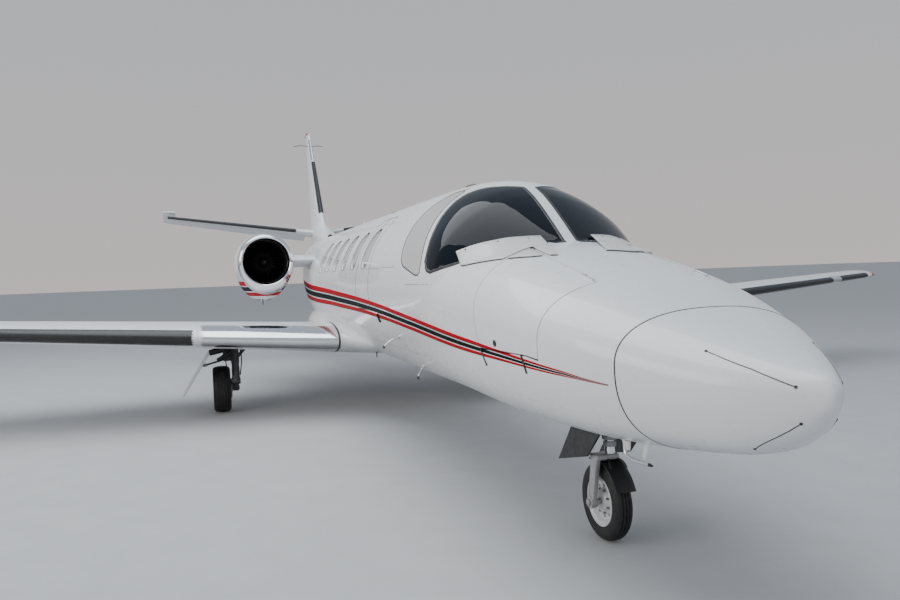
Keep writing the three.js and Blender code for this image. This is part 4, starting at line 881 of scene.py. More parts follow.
def deselect() -> None:
    """Leaves edit mode and selects nothing."""
    if bpy.context.object is not None and bpy.context.object.mode != "OBJECT":
        bpy.ops.object.mode_set(mode="OBJECT")
    bpy.ops.object.select_all(action="DESELECT")


def take(*objects: Mesh) -> Mesh:
    """Selects only these objects and makes the first one active."""
    deselect()
    for obj in objects:
        obj.select_set(True)
    bpy.context.view_layer.objects.active = objects[0]
    return objects[0]


@contextmanager
def editing(obj: Mesh) -> Iterator[None]:
    """Edit mode on one object, with all of it selected at the start."""
    take(obj)
    bpy.ops.object.mode_set(mode="EDIT")
    bpy.ops.mesh.select_all(action="SELECT")
    yield
    bpy.ops.object.mode_set(mode="OBJECT")


def placed(obj: Mesh) -> Mesh:
    """Moves an object's place, turn and scale into its mesh."""
    take(obj)
    bpy.ops.object.transform_apply(location=True, rotation=True, scale=True)
    return obj


def modified(obj: Mesh, kind: str, **settings: object) -> Mesh:
    """Adds a modifier and applies it."""
    take(obj)
    modifier = obj.modifiers.new(kind.title(), kind)
    for key, value in settings.items():
        setattr(modifier, key, value)
    bpy.ops.object.modifier_apply(modifier=modifier.name)
    return obj


def joined(objects: Sequence[Mesh]) -> Mesh:
    """One object from several."""
    take(*objects)
    if len(objects) > 1:
        bpy.ops.object.join()
    return bpy.context.view_layer.objects.active


def bevelled(obj: Mesh, width: float, segments: int = 2) -> Mesh:
    """Rounds an object's sharp edges."""
    return modified(obj, "BEVEL", width=width, segments=segments, limit_method="ANGLE", angle_limit=0.6)


def block(low: Point, high: Point, bevel: float = 0.004, segments: int = 2) -> Mesh:
    """A block between two corners, with rounded edges."""
    deselect()
    middle = [(a + b) / 2 for a, b in zip(low, high)]
    bpy.ops.mesh.primitive_cube_add(size=1, location=middle)
    obj = bpy.context.object
    obj.scale = [abs(b - a) for a, b in zip(low, high)]
    placed(obj)
    return bevelled(obj, bevel, segments) if bevel else obj


def rod(a: Point, b: Point, radius: float, end: float | None = None, sides: int = 24,
        bevel: float = 0.0) -> Mesh:
    """A round bar between two points, with its own radius at each end."""
    deselect()
    start, along = Vector(a), Vector(b) - Vector(a)
    turn = along.to_track_quat("Z", "Y").to_euler()
    bpy.ops.mesh.primitive_cone_add(
        vertices=sides, radius1=radius, radius2=radius if end is None else end, depth=along.length,
        location=start + along / 2, rotation=turn,
    )
    obj = placed(bpy.context.object)
    return bevelled(obj, bevel) if bevel else obj


def spun(profile: Sequence[tuple[float, float]], centre: Point, axis: Point = (1, 0, 0),
         steps: int = 64) -> Mesh:
    """A turned piece.

    Args:
        profile: points as (distance along the axis, radius); a loop repeats its first point.
        centre: where distance zero lies.
        axis: the direction of the axis.
        steps: faces round the turn.

    Returns:
        The piece, closed where its profile is.
    """
    deselect()
    bpy.ops.mesh.primitive_plane_add(size=0.01, location=(0, 0, 0))
    obj = bpy.context.object
    with editing(obj):
        bpy.ops.mesh.merge(type="CENTER")
        bpy.ops.transform.translate(value=(profile[0][0], 0, profile[0][1]))
        for (x0, r0), (x1, r1) in zip(profile, profile[1:]):
            bpy.ops.mesh.extrude_vertices_move(TRANSFORM_OT_translate={"value": (x1 - x0, 0, r1 - r0)})
        bpy.ops.mesh.select_all(action="SELECT")
        bpy.ops.mesh.spin(steps=steps, angle=2 * math.pi, center=(0, 0, 0), axis=(1, 0, 0))
        bpy.ops.mesh.select_all(action="SELECT")
        bpy.ops.mesh.remove_doubles(threshold=2e-5)
        bpy.ops.mesh.normals_make_consistent(inside=False)
    turn = Vector((1, 0, 0)).rotation_difference(Vector(axis)).to_matrix().to_4x4()
    obj.data.transform(Matrix.Translation(centre) @ turn)
    return obj


def pipe(points: Sequence[Point], radius: float, sides: int = 3) -> Mesh:
    """A round pipe along a smooth line through points."""
    curve = bpy.data.curves.new("pipe", "CURVE")
    curve.dimensions = "3D"
    curve.bevel_depth, curve.bevel_resolution = radius, sides
    curve.use_fill_caps, curve.resolution_u = True, 6
    line = curve.splines.new("BEZIER")
    line.bezier_points.add(len(points) - 1)
    for point, place in zip(line.bezier_points, points):
        point.co = place
        point.handle_left_type = point.handle_right_type = "AUTO"
    obj = bpy.data.objects.new("pipe", curve)
    bpy.context.scene.collection.objects.link(obj)
    take(obj)
    bpy.ops.object.convert(target="MESH")
    return bpy.context.object


def plate(outline: Sequence[Point], thick: Point, bevel: float = 0.002) -> Mesh:
    """A flat plate from its outline, drawn out along a vector."""
    made = surface_mesh("plate", np.array(outline, float), [tuple(range(len(outline)))])
    with editing(made):
        bpy.ops.mesh.extrude_region_move(TRANSFORM_OT_translate={"value": thick})
        bpy.ops.mesh.select_all(action="SELECT")
        bpy.ops.mesh.normals_make_consistent(inside=False)
    return bevelled(made, bevel) if bevel else made


def surface_mesh(name: str, points: np.ndarray, faces: Sequence[tuple[int, ...]]) -> Mesh:
    """An object from points and faces."""
    mesh = bpy.data.meshes.new(name)
    mesh.from_pydata(points.tolist(), [], faces)
    obj = bpy.data.objects.new(name, mesh)
    bpy.context.scene.collection.objects.link(obj)
    return obj


def grid_mesh(name: str, rows: np.ndarray, closed: bool = False) -> Mesh:
    """An open sheet through a grid of points, rows by columns, closed along its rows if asked."""
    count, width = rows.shape[:2]
    faces = []
    for i in range(count if closed else count - 1):
        a, b = i * width, ((i + 1) % count) * width
        faces += [(a + k, a + k + 1, b + k + 1, b + k) for k in range(width - 1)]
    return surface_mesh(name, rows.reshape(-1, 3), faces)


def dress(obj: Mesh, name: str, finish: Finish, body: str = "airframe",
          stands_for: Sequence[str] = (), angle: float = 35.0) -> Mesh:
    """Names a finished piece, gives it its material, and lets it ride on a body."""
    obj.name = obj.data.name = name
    if finish is not None:
        obj.data.materials.clear()
        obj.data.materials.append(finish.material())
    if angle:
        take(obj)
        bpy.ops.object.shade_smooth_by_angle(angle=math.radians(angle))
    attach(obj, body)
    if stands_for:
        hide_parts(*stands_for)
    LOG.info("%s: %d faces on %s", name, len(obj.data.polygons), body)
    return obj


def body_of(node: str) -> str:
    """The body that carries a CAD node."""
    return frame["nodes"][node]["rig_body"]


# Skins.


@dataclass
class Skin:
    """A CAD node's outer faces, refined until they lie on the form that they stand for."""

    node: str
    forms: Sequence[Form]
    finish: Finish
    slot: Slot
    inside: Finish = PRIMER
    edge: Finish | None = None
    reach: float = 0.022
    fine: float = 0.0004
    inner_forms: Sequence[tuple[Form, Finish]] = ()

    def build(self) -> Mesh:
        """Makes the skin and returns it."""
        source = frame["nodes"][self.node].data
        co = np.empty(len(source.vertices) * 3)
        source.vertices.foreach_get("co", co)
        made = surface_mesh(self.node + "_skin", co.reshape(-1, 3),
                            [tuple(p.vertices) for p in source.polygons])
        forms = list(self.forms) + [form for form, _ in self.inner_forms]
        bm = bmesh.new()
        bm.from_mesh(made.data)
        bmesh.ops.remove_doubles(bm, verts=bm.verts, dist=3e-5)
        self._sort(bm, forms)
        self._settle(bm, forms)
        for _ in range(4):
            if not self._refine(bm, forms):
                break
            self._settle(bm, forms)
        bm.to_mesh(made.data)
        bm.free()
        self._shade(made, forms)
        kinds = [self.finish] * len(self.forms) + [finish for _, finish in self.inner_forms]
        kinds += [self.edge or self.finish, self.inside]
        for finish in kinds:
            made.data.materials.append(finish.material())
        return dress(made, self.node + "_skin", None, body_of(self.node), [self.node], angle=0)

    def _sort(self, bm: bmesh.types.BMesh, forms: Sequence[Form]) -> None:
        """Gives each face the number of its form, or of an edge or inside face."""
        bm.normal_update()
        middle = np.array([f.calc_center_median()[:] for f in bm.faces])
        normal = np.array([f.normal[:] for f in bm.faces])
        kind = np.full(len(middle), len(forms))
        facing = np.zeros(len(middle))
        for k, form in reversed(list(enumerate(forms))):
            n = form.normals(middle)
            along = (n * normal).sum(1)
            facing = along if k == 0 else facing
            kind[(np.abs(form.gap(middle)) < self.reach) & (along > 0.8)] = k
        kind[(kind == len(forms)) & (facing < -0.6)] = len(forms) + 1
        for face, k in zip(bm.faces, kind):
            face.material_index = int(k)
            face.smooth = True

    def _settle(self, bm: bmesh.types.BMesh, forms: Sequence[Form]) -> None:
        """Moves the vertices of each form's faces onto it."""
        for k, form in enumerate(forms):
            verts = list({v for f in bm.faces if f.material_index == k for v in f.verts})
            if verts:
                moved = form.settle(np.array([v.co[:] for v in verts]), self.reach)
                for v, place in zip(verts, moved):
                    v.co = place

    def _refine(self, bm: bmesh.types.BMesh, forms: Sequence[Form]) -> int:
        """Splits the edges whose middles still miss their form, and returns how many."""
        split = []
        for k, form in enumerate(forms):
            edges = list({e for f in bm.faces if f.material_index == k for e in f.edges})
            if not edges:
                continue
            middle = np.array([((e.verts[0].co + e.verts[1].co) / 2)[:] for e in edges])
            miss = np.abs(form.gap(middle)) > self.fine
            split += [e for e, m in zip(edges, miss) if m]
        split = list(set(split))
        if split:
            bmesh.ops.subdivide_edges(bm, edges=split, cuts=1, use_grid_fill=True)
        return len(split)

    def _shade(self, made: Mesh, forms: Sequence[Form]) -> None:
        """Sets the corner normals: the forms' own on their faces, and by angle elsewhere."""
        take(made)
        bpy.ops.object.shade_smooth_by_angle(angle=math.radians(30))
        mesh = made.data
        corner = np.empty(len(mesh.loops) * 3, np.float32)
        mesh.corner_normals.foreach_get("vector", corner)
        corner = corner.reshape(-1, 3).astype(float)
        vertex = np.empty(len(mesh.loops), np.int32)
        mesh.loops.foreach_get("vertex_index", vertex)
        co = np.empty(len(mesh.vertices) * 3)
        mesh.vertices.foreach_get("co", co)
        co = co.reshape(-1, 3)
        kind = np.empty(len(mesh.polygons), np.int32)
        mesh.polygons.foreach_get("material_index", kind)
        total = np.empty(len(mesh.polygons), np.int32)
        mesh.polygons.foreach_get("loop_total", total)
        loop_kind = np.repeat(kind, total)
        for k, form in enumerate(forms):
            mine = loop_kind == k
            if mine.any():
                corner[mine] = form.normals(co[vertex[mine]])
        mesh.polygons.foreach_set("use_smooth", np.ones(len(mesh.polygons), bool))
        mesh.normals_split_custom_set(corner.tolist())


def strip(name: str, line: np.ndarray, form: Form, width: float, lift: float = 0.0008,
          closed: bool = False) -> Mesh:
    """A low bead along a line on a form.

    Args:
        name: the mesh's name.
        line: rows of points on the form.
        form: the form that gives the bead's upright direction.
        width: the bead's width.
        lift: its height above the form.
        closed: whether its end joins its start.

    Returns:
        The bead.
    """
    up = form.normals(line)
    ahead = np.roll(line, -1, 0) - np.roll(line, 1, 0)
    if not closed:
        ahead[0], ahead[-1] = line[1] - line[0], line[-1] - line[-2]
    across = np.cross(up, ahead)
    across /= np.maximum(np.linalg.norm(across, axis=1, keepdims=True), 1e-9)
    rows = [line + across * width * a + up * lift * h for a, h in ((-0.5, -0.5), (-0.38, 0.8), (0, 1),
                                                                   (0.38, 0.8), (0.5, -0.5))]
    made = grid_mesh(name, np.stack(rows[::-1], 1), closed)
    return made


def rounded(front: float, aft: float, low: float, high: float, radius: float, count: int = 10) -> np.ndarray:
    """A rounded rectangle as rows of (station, height), dense enough to lie on a curved skin."""
    made: list[tuple[float, float]] = []
    corners = ((aft - radius, low + radius, -90), (aft - radius, high - radius, 0),
               (front + radius, high - radius, 90), (front + radius, low + radius, 180))
    for u, v, start in corners:
        made += [(u + radius * math.cos(math.radians(a)), v + radius * math.sin(math.radians(a)))
                 for a in np.linspace(start, start + 90, count)]
    return dense(np.array(made), 0.03, closed=True)


def dense(line: np.ndarray, step: float, closed: bool = False) -> np.ndarray:
    """The same line with points no further apart than a step."""
    ends = np.vstack([line, line[:1]]) if closed else line
    made = []
    for a, b in zip(ends, ends[1:]):
        count = max(int(np.linalg.norm(b - a) / step), 1)
        made += [a + (b - a) * k / count for k in range(count)]
    return np.array(made if closed else made + [ends[-1]])


# The aircraft's skins.


@dataclass
class Airframe:
    """Every outer skin of the body, the wing and the tail."""

    def build(self) -> None:
        """Builds the skins."""
        Skin("radome", [HULL], NOSE_WHITE, Slot.RADOME).build()
        Skin("nose_section", [HULL], NOSE_WHITE, Slot.WHITE).build()
        Skin("cabin_shell", [HULL], WHITE, Slot.WHITE, LINING).build()
        Skin("cabin_door", [HULL], WHITE, Slot.WHITE, LINING).build()
        Skin("escape_hatch", [HULL], WHITE, Slot.WHITE, LINING).build()
        Skin("wing_fairing", [FAIR], PLAIN_WHITE, Slot.WHITE).build()
        Skin("tailcone", [HULL], WHITE, Slot.TAIL).build()
        Skin("fin", [FIN], FIN_WHITE, Slot.TAIL, fine=0.0008).build()
        Skin("rudder", [FIN], FIN_WHITE, Slot.TAIL, fine=0.0008).build()
        for side in Side:
            cowl = cowl_form(side)
            duct = Duct(INTAKE, ENGINE_Y * side.value, ENGINE_Z, ENGINE_S)
            for kind in ("wing", "flap", "aileron"):
                Skin(f"{kind}_{side.label}", [WING], WING_WHITE, Slot.WHITE).build()
            Skin(f"baggage_door_{side.label}", [HULL], NOSE_WHITE, Slot.WHITE).build()
            Skin(f"stabilizer_{side.label}", [TAIL], TAIL_WHITE, Slot.TAIL).build()
            Skin(f"elevator_{side.label}", [drooped_tail(side)], TAIL_WHITE, Slot.TAIL).build()
            Skin(f"pylon_{side.label}", [Pylon()], PLAIN_WHITE, Slot.TAIL).build()
            # The intake's inner wall gets the near-black painted shade.
            Skin(f"nacelle_{side.label}", [cowl], COWL_WHITE, Slot.WHITE, HOT_METAL, HOT_METAL, 0.012,
                 inner_forms=[(duct, DUCT_PAINTED_SHADE)]).build()
            Skin(f"windscreen_{side.label}", [HULL], WINDSCREEN_GLASS, Slot.GLAZING, WINDSCREEN_GLASS).build()
            # Side and cabin panes carry a painted reflection of the sky.
            Skin(f"side_window_{side.label}", [HULL], SIDE_GLASS_PAINTED_REFLECTION, Slot.GLAZING, INNER_GLASS).build()
            Skin(f"cabin_glazing_{side.label}", [BELT_HULL], CABIN_GLASS_PAINTED_REFLECTION, Slot.GLAZING, INNER_GLASS).build()


# Fittings that lie on the skins.


WINDSCREEN_CORNER = ((2.56, 1.608), (2.618, 1.594), (2.672, 1.607), (2.708, 1.64), (2.728, 1.69))
WINDSCREEN_HOOP = (
    (2.735, 0.775), (2.756, 0.75), (2.794, 0.715), (2.835, 0.664), (2.88, 0.605), (2.911, 0.542),
                   (2.943, 0.47),
    (2.948, 0.4), (2.915, 0.328), (2.875, 0.267), (2.821, 0.205), (2.772, 0.127), (2.72, 0.045),
)
SIDE_WINDOW = (
    (2.8, 1.6), (2.83, 1.58), (2.9, 1.581), (3.091, 1.617), (3.25, 1.648), (3.335, 1.685), (3.39, 1.76),
    (3.424, 1.85), (3.433, 1.93), (3.426, 2.02), (3.392, 2.098), (3.33, 2.16), (3.27, 2.186), (3.15, 2.19),
    (3.07, 2.168), (3.025, 2.11), (2.99, 2.035), (2.96, 1.97), (2.92, 1.895), (2.88, 1.81), (2.84, 1.735),
               (2.81, 1.66),
)
WINDOW_MIDDLES = tuple(4.755 + 0.555 * i for i in range(6))


def outward(obj: Mesh, form: Form) -> Mesh:
    """Turns a sheet's faces over where they point into the form."""
    mesh = obj.data
    middle = np.array([p.center[:] for p in mesh.polygons])
    normal = np.array([p.normal[:] for p in mesh.polygons])
    if (form.normals(middle) * normal).sum() < 0:
        mesh.flip_normals()
    return obj


def cover(name: str, form: Form, grid: np.ndarray, lift: float = 0.0009, rim: float = -0.0006) -> Mesh:
    """A thin sheet over part of a form.

    Args:
        name: the mesh's name.
        form: the form below.
        grid: rows by columns of points on it.
        lift: the sheet's height above the form.
        rim: the height of its outer edge, below zero to tuck it in.

    Returns:
        The sheet, facing outwards.
    """
    normal = form.normals(grid.reshape(-1, 3)).reshape(grid.shape)
    high = np.full(grid.shape[:2] + (1,), lift)
    high[[0, -1]] = rim
    high[:, [0, -1]] = rim
    return outward(grid_mesh(name, grid + normal * high), form)


def ring(form: Form, station: float, count: int = 72) -> np.ndarray:
    """Points round a body at one station."""
    a = np.linspace(0, 2 * math.pi, count, endpoint=False)
    middle = np.stack([np.full(count, NOSE_X - station), np.zeros(count),
                       np.full(count, 1.09 + 0.14 * station)], 1)
    return form.cast(middle + np.stack([0 * a, 1.3 * np.cos(a), 1.3 * np.sin(a)], 1), middle)


def loft(name: str, rings: Sequence[np.ndarray]) -> Mesh:
    """A closed body through rings of points, with flat ends."""
    width = len(rings[0])
    faces: list[tuple[int, ...]] = [tuple(range(width)), tuple(range(len(rings) * width - 1,
                                                                     (len(rings) - 1) * width - 1, -1))]
    for i in range(len(rings) - 1):
        for k in range(width):
            a, b = i * width, (i + 1) * width
            faces.append((a + k, a + (k + 1) % width, b + (k + 1) % width, b + k))
    obj = surface_mesh(name, np.concatenate(rings), faces)
    with editing(obj):
        bpy.ops.mesh.normals_make_consistent(inside=False)
    return obj


def blade(root: np.ndarray, up: np.ndarray, height: float, chord: float, sweep: float,
          thick: float = 0.014) -> Mesh:
    """A blade antenna on a foot.

    Args:
        root: where it stands.
        up: its unit direction.
        height: how far it stands out.
        chord: its length at the root; the tip has 0.6 of it.
        sweep: how far aft the tip lies.
        thick: its thickness at the root.

    Returns:
        The blade.
    """
    aft = np.array([-1.0, 0, 0]) + up * up[0]
    aft /= np.linalg.norm(aft)
    across = np.cross(up, aft)
    angle = np.linspace(0, 2 * math.pi, 20, endpoint=False)
    rings = []
    for t, size in ((-0.06, 1.0), (0.0, 1.0), (0.3, 0.9), (0.6, 0.8), (0.85, 0.7), (0.96, 0.6), (1.0, 0.42)):
        middle = root + up * height * t + aft * sweep * max(t, 0)
        half = chord * size / 2
        rings.append(middle + np.outer(-np.cos(angle) * half,
                                       aft) + np.outer(np.sin(angle) * thick * size / 2, across))
    return loft("blade", rings)


def at_side(station: float, z: float, side: Side, out: float = 0.0, form: Form | None = None) -> np.ndarray:
    """A point of a flank, moved out along the skin's normal."""
    form = form or HULL
    point = form.side([station], [z], side)
    return (point + form.normals(point) * out)[0]


@dataclass
class Seams:
    """Window seals, panel joints, the hatch's outline and the lightning strips."""

    side: Side

    def build(self) -> None:
        """Builds the beads of one side, and those of the whole body with the starboard side."""
        self._windscreen()
        self._windows()
        self._panels()
        if self.side is Side.RIGHT:
            self._rings()

    def _bead(self, name: str, line: np.ndarray, width: float, lift: float, finish: Finish,
              closed: bool = False,
              form: Form | None = None) -> None:
        """Lays one bead and dresses it."""
        form = form or HULL
        made = outward(strip(name, line, form, width, lift, closed), form)
        dress(made, f"{name}_{self.side.label}", finish)

    def _windscreen(self) -> None:
        """The black seal round the windscreen pane."""
        sign = self.side.value
        base = [(s, 1.744 - 0.28 * (s - 2.075)) for s in np.linspace(2.09, 2.54, 12)]
        low = HULL.side(*zip(*dense(np.array(base + list(WINDSCREEN_CORNER)), 0.02)), self.side)
        hoop = dense(np.array(WINDSCREEN_HOOP), 0.02)
        high = HULL.crown(hoop[:, 0], hoop[:, 1] * sign)
        back = np.linspace(2.70, 2.10, 30)
        post = HULL.crown(back, np.full(30, 0.045 * sign))
        line = np.vstack([low[np.abs(low[:, 1]) > 0.047], high, post])
        self._bead("windscreen_seal", line, 0.020, 0.0024, SEAL, True)
        inner = line - (line - line.mean(0)) * 0.02
        centre = HULL.settle(inner, 0.05)
        self._bead("windscreen_rebate", centre, 0.009, 0.0012, SEAM, True)

    def _windows(self) -> None:
        """Seals of the side window, the cabin windows and the hatch."""
        line = dense(np.array(SIDE_WINDOW), 0.02, closed=True)
        self._bead("side_window_seal", HULL.side(line[:, 0], line[:, 1], self.side), 0.011, 0.0018, SEAL,
                   True)
        for i, middle in enumerate(WINDOW_MIDDLES):
            line = rounded(middle - 0.14, middle + 0.14, 1.655, 2.015, 0.11)
            self._bead(f"cabin_window_seal_{i}", HULL.side(line[:, 0], line[:, 1], self.side), 0.008,
                       0.0012, SEAL, True)
        if self.side is Side.RIGHT:
            line = rounded(4.47, 5.05, 1.285, 2.11, 0.06)
            self._bead("hatch_seam", HULL.side(line[:, 0], line[:, 1], self.side), 0.011, 0.0010, SEAL, True)
            handle = at_side(4.76, 2.063, self.side, 0.001)
            pad = rod(handle, handle + HULL.normals(handle[None])[0] * 0.004, 0.05, 0.048, 40, 0.0015)
            dress(pad, "hatch_handle_cover", BLADE_WHITE)

    def _panels(self) -> None:
        """Sheet laps along the roof and the flank."""
        lines = {
            "roof_lap": [(4.1, 2.03), (5.4, 2.075), (6.6, 2.11), (7.8, 2.14)],
            "belt_lap": [(3.52, 1.65), (4.6, 1.65)],
            "nose_lap": [(2.583, 1.516), (3.156, 1.516)],
            "post_lap": [(2.665, 1.585), (2.66, 1.516)],
            "sill_lap": [(3.2, 0.98), (5.1, 0.98)],
            "aft_lap": [(8.2, 1.86), (9.4, 1.95), (10.6, 2.02)],
        }
        for name, points in lines.items():
            line = dense(np.array(points), 0.06)
            self._bead(name, HULL.side(line[:, 0], line[:, 1], self.side), 0.004, 0.0005, SEAM)

    def _rings(self) -> None:
        """The joints round the radome and the tail, and the lightning strips."""
        for name, s, width, finish in (("radome_joint", 0.72, 0.008, SEAL),
                                       ("tail_joint", 12.05, 0.005, SEAM)):
            made = ring(HULL, s, 200) if s < 9 else self._tail_ring(s)
            dress(outward(strip(name, made, HULL, width, 0.0013, True), HULL), name, finish)
        upper = dense(np.array([(0.411, 1.235), (0.238, 1.175), (0.096, 1.117)]), 0.02)
        lower = dense(np.array([(0.100, 0.976), (0.140, 0.944), (0.183, 0.915), (0.291, 0.848)]), 0.02)
        for side in Side:
            for place, line in (("upper", upper), ("lower", lower)):
                self._strip_with_studs(f"lightning_strip_{place}_{side.label}",
                                       HULL.side(line[:, 0], line[:, 1], side))

    def _tail_ring(self, station: float) -> np.ndarray:
        """Points round the tailcone, whose middle lies higher."""
        a = np.linspace(0, 2 * math.pi, 72, endpoint=False)
        middle = np.tile([NOSE_X - station, 0, 1.95], (72, 1))
        return HULL.cast(middle + np.stack([0 * a, np.cos(a), np.sin(a)], 1), middle)

    def _strip_with_studs(self, name: str, line: np.ndarray) -> None:
        """A lightning diverter strip with a stud at each end."""
        normal = HULL.normals(line)
        studs = [rod(line[i] - normal[i] * 0.001, line[i] + normal[i] * 0.0022, 0.007, 0.006, 16)
                 for i in (0, -1)]
        bead = outward(strip(name, line, HULL, 0.005, 0.0014), HULL)
        dress(joined([bead, *studs]), name, SEAL)


@dataclass
class Deflectors:
    """The plate that bridges the windscreen's foot; the part over the baggage door is the door's.

    Fields:
        low: its lower edge, from outboard to inboard, as (station, |y|, z).
        low_port: the last two points of that edge on the port side.
        high: its upper edge, likewise.
        door_aft: the station of the baggage door's aft edge.
        door_gap: the slot that the plate keeps there.
        door_top: the slot along the door's upper edge, as two places across.
    """

    side: Side
    low: tuple[Point, ...] = (
        (2.36, 0.646, 1.633), (2.324, 0.642, 1.629), (2.154, 0.576, 1.648), (1.975, 0.486, 1.66),
        (1.833, 0.39, 1.664), (1.74, 0.272, 1.668))
    low_port: tuple[Point, ...] = ((1.715, 0.20, 1.675), (1.742, 0.04, 1.69))
    high: tuple[Point, ...] = (
        (2.45, 0.646, 1.724), (2.40, 0.575, 1.751), (2.347, 0.501, 1.772), (2.273, 0.361, 1.797),
        (2.225, 0.27, 1.80), (2.186, 0.174, 1.801))
    door_aft: float = 1.984
    door_gap: float = 0.016
    door_top: tuple[float, float] = (0.311, 0.339)

    def build(self) -> None:
        """Builds the plate, its hinge rod and its stand-offs."""
        t = np.linspace(0, 1, 20)
        edges = []
        low = self.low if self.side is Side.RIGHT else (*self.low[:-1], *self.low_port)
        for corners in (low, self.high):
            table = np.array(corners)
            table[:, 0] = NOSE_X - table[:, 0]
            table[:, 1] *= self.side.value
            edges.append(np.stack([np.interp(t, np.linspace(0, 1, len(table)), table[:, k])
                                   for k in range(3)], 1))
        grid = np.stack([edges[0] * (1 - k) + edges[1] * k for k in np.linspace(0, 1, 9)])
        flat = grid.reshape(-1, 3)
        near = np.maximum(0.007 - HULL.gap(flat), 0)[:, None]
        grid = (flat + HULL.normals(flat) * near).reshape(grid.shape)
        sign, door = self.side.value, body_of(f"baggage_door_{self.side.label}")
        fore, over = NOSE_X - self.door_aft - self.door_gap, NOSE_X - self.door_aft
        inboard, outboard = self.door_top[0] * sign, self.door_top[1] * sign
        fixed = [
            self._cut(grid, [((fore, 0, 0), (1, 0, 0))]),
            self._cut(grid, [((fore, 0, 0), (-1, 0, 0)), ((0, inboard, 0), (0, sign, 0))]),
        ]
        dress(joined(fixed), f"windscreen_deflector_{self.side.label}", BLADE_WHITE)
        lug = self._cut(grid, [((over, 0, 0), (-1, 0, 0)), ((0, outboard, 0), (0, -sign, 0))])
        dress(lug, f"deflector_foot_{self.side.label}", BLADE_WHITE, door)
        foot = HULL.settle(dense(grid[0], 0.01), 0.05)
        aft = foot[foot[:, 0] < fore - 0.006]
        near = foot[(foot[:, 0] > over + 0.006) & (np.abs(foot[:, 1]) > abs(outboard))]
        mid = foot[np.abs(foot[:, 1]) < abs(inboard)]
        posts = []
        for i in (3, 10, 16):
            top = grid[7, i]
            if top[0] < fore:
                n = HULL.normals(top[None])[0]
                posts.append(rod(top - n * max(HULL.gap(top[None])[0] + 0.004, 0.01), top + n * 0.004,
                                 0.006, 0.006, 16))
        hinges = [pipe([tuple(p) for p in line], 0.0045) for line in (aft, mid) if len(line) > 1]
        dress(joined([*hinges, *posts]), f"deflector_hinge_{self.side.label}", SEAL)
        if len(near) > 1:
            dress(pipe([tuple(p) for p in near], 0.0045), f"deflector_foot_hinge_{self.side.label}", SEAL,
                  door)

    def _cut(self, grid: np.ndarray, planes: Sequence[tuple[Point, Point]]) -> Mesh:
        """The plate's part behind each plane, as a sheet with thickness.

        Args:
            grid: rows of points over the whole plate.
            planes: a place and a direction each; what lies beyond goes.

        Returns:
            The finished part.
        """
        sheet = outward(grid_mesh("deflector", grid), HULL)
        bm = bmesh.new()
        bm.from_mesh(sheet.data)
        for place, direction in planes:
            parts = [*bm.verts, *bm.edges, *bm.faces]
            bmesh.ops.bisect_plane(bm, geom=parts, dist=1e-6, plane_co=place, plane_no=direction,
                                   clear_outer=True)
        bm.to_mesh(sheet.data)
        bm.free()
        modified(sheet, "SOLIDIFY", thickness=0.004, offset=0.0)
        return bevelled(sheet, 0.0012)


@dataclass
class LeadingEdges:
    """De-icing boots and polished leading edges."""

    side: Side

    def build(self) -> None:
        """Builds the covers of one side, and the fin's with the starboard side."""
        sign = self.side.value
        for name, y0, y1, up, down, finish in (
            ("wing_edge", 0.72, 2.285, 0.34, 0.17, POLISHED),
                                               ("wing_boot", 2.30, 7.74, 0.12, 0.14, WING_BOOT),
        ):
            rows = np.linspace(y0, y1, max(int((y1 - y0) / 0.09), 12))
            grid = np.stack([WING.outline(y * sign, up - 0.006 * y, down - 0.006 * y)
                             for y in rows])
            dress(cover(name, WING, grid), f"{name}_{self.side.label}", finish)
        root = strip("root_seal", WING.outline(0.782 * sign, 1.1, 0.9, 40), WING, 0.024, 0.0026)
        dress(outward(root, WING), f"wing_root_seal_{self.side.label}", SEAL)
        rows = np.linspace(0.42, 2.80, 24)
        grid = np.stack([TAIL.outline(y * sign, 0.075, 0.075) for y in rows])
        dress(cover("tail_boot", TAIL, grid), f"tail_boot_{self.side.label}", TAIL_BOOT)
        if self.side is Side.RIGHT:
            for name, low, high, finish in (("fin_boot", 2.80, 3.95, FIN_BOOT),
                                            ("fin_edge", 3.955, 4.44, POLISHED)):
                grid = np.stack([FIN.outline(z, 0.085) for z in np.linspace(low, high, 20)])
                dress(cover(name, FIN, grid), name, finish)


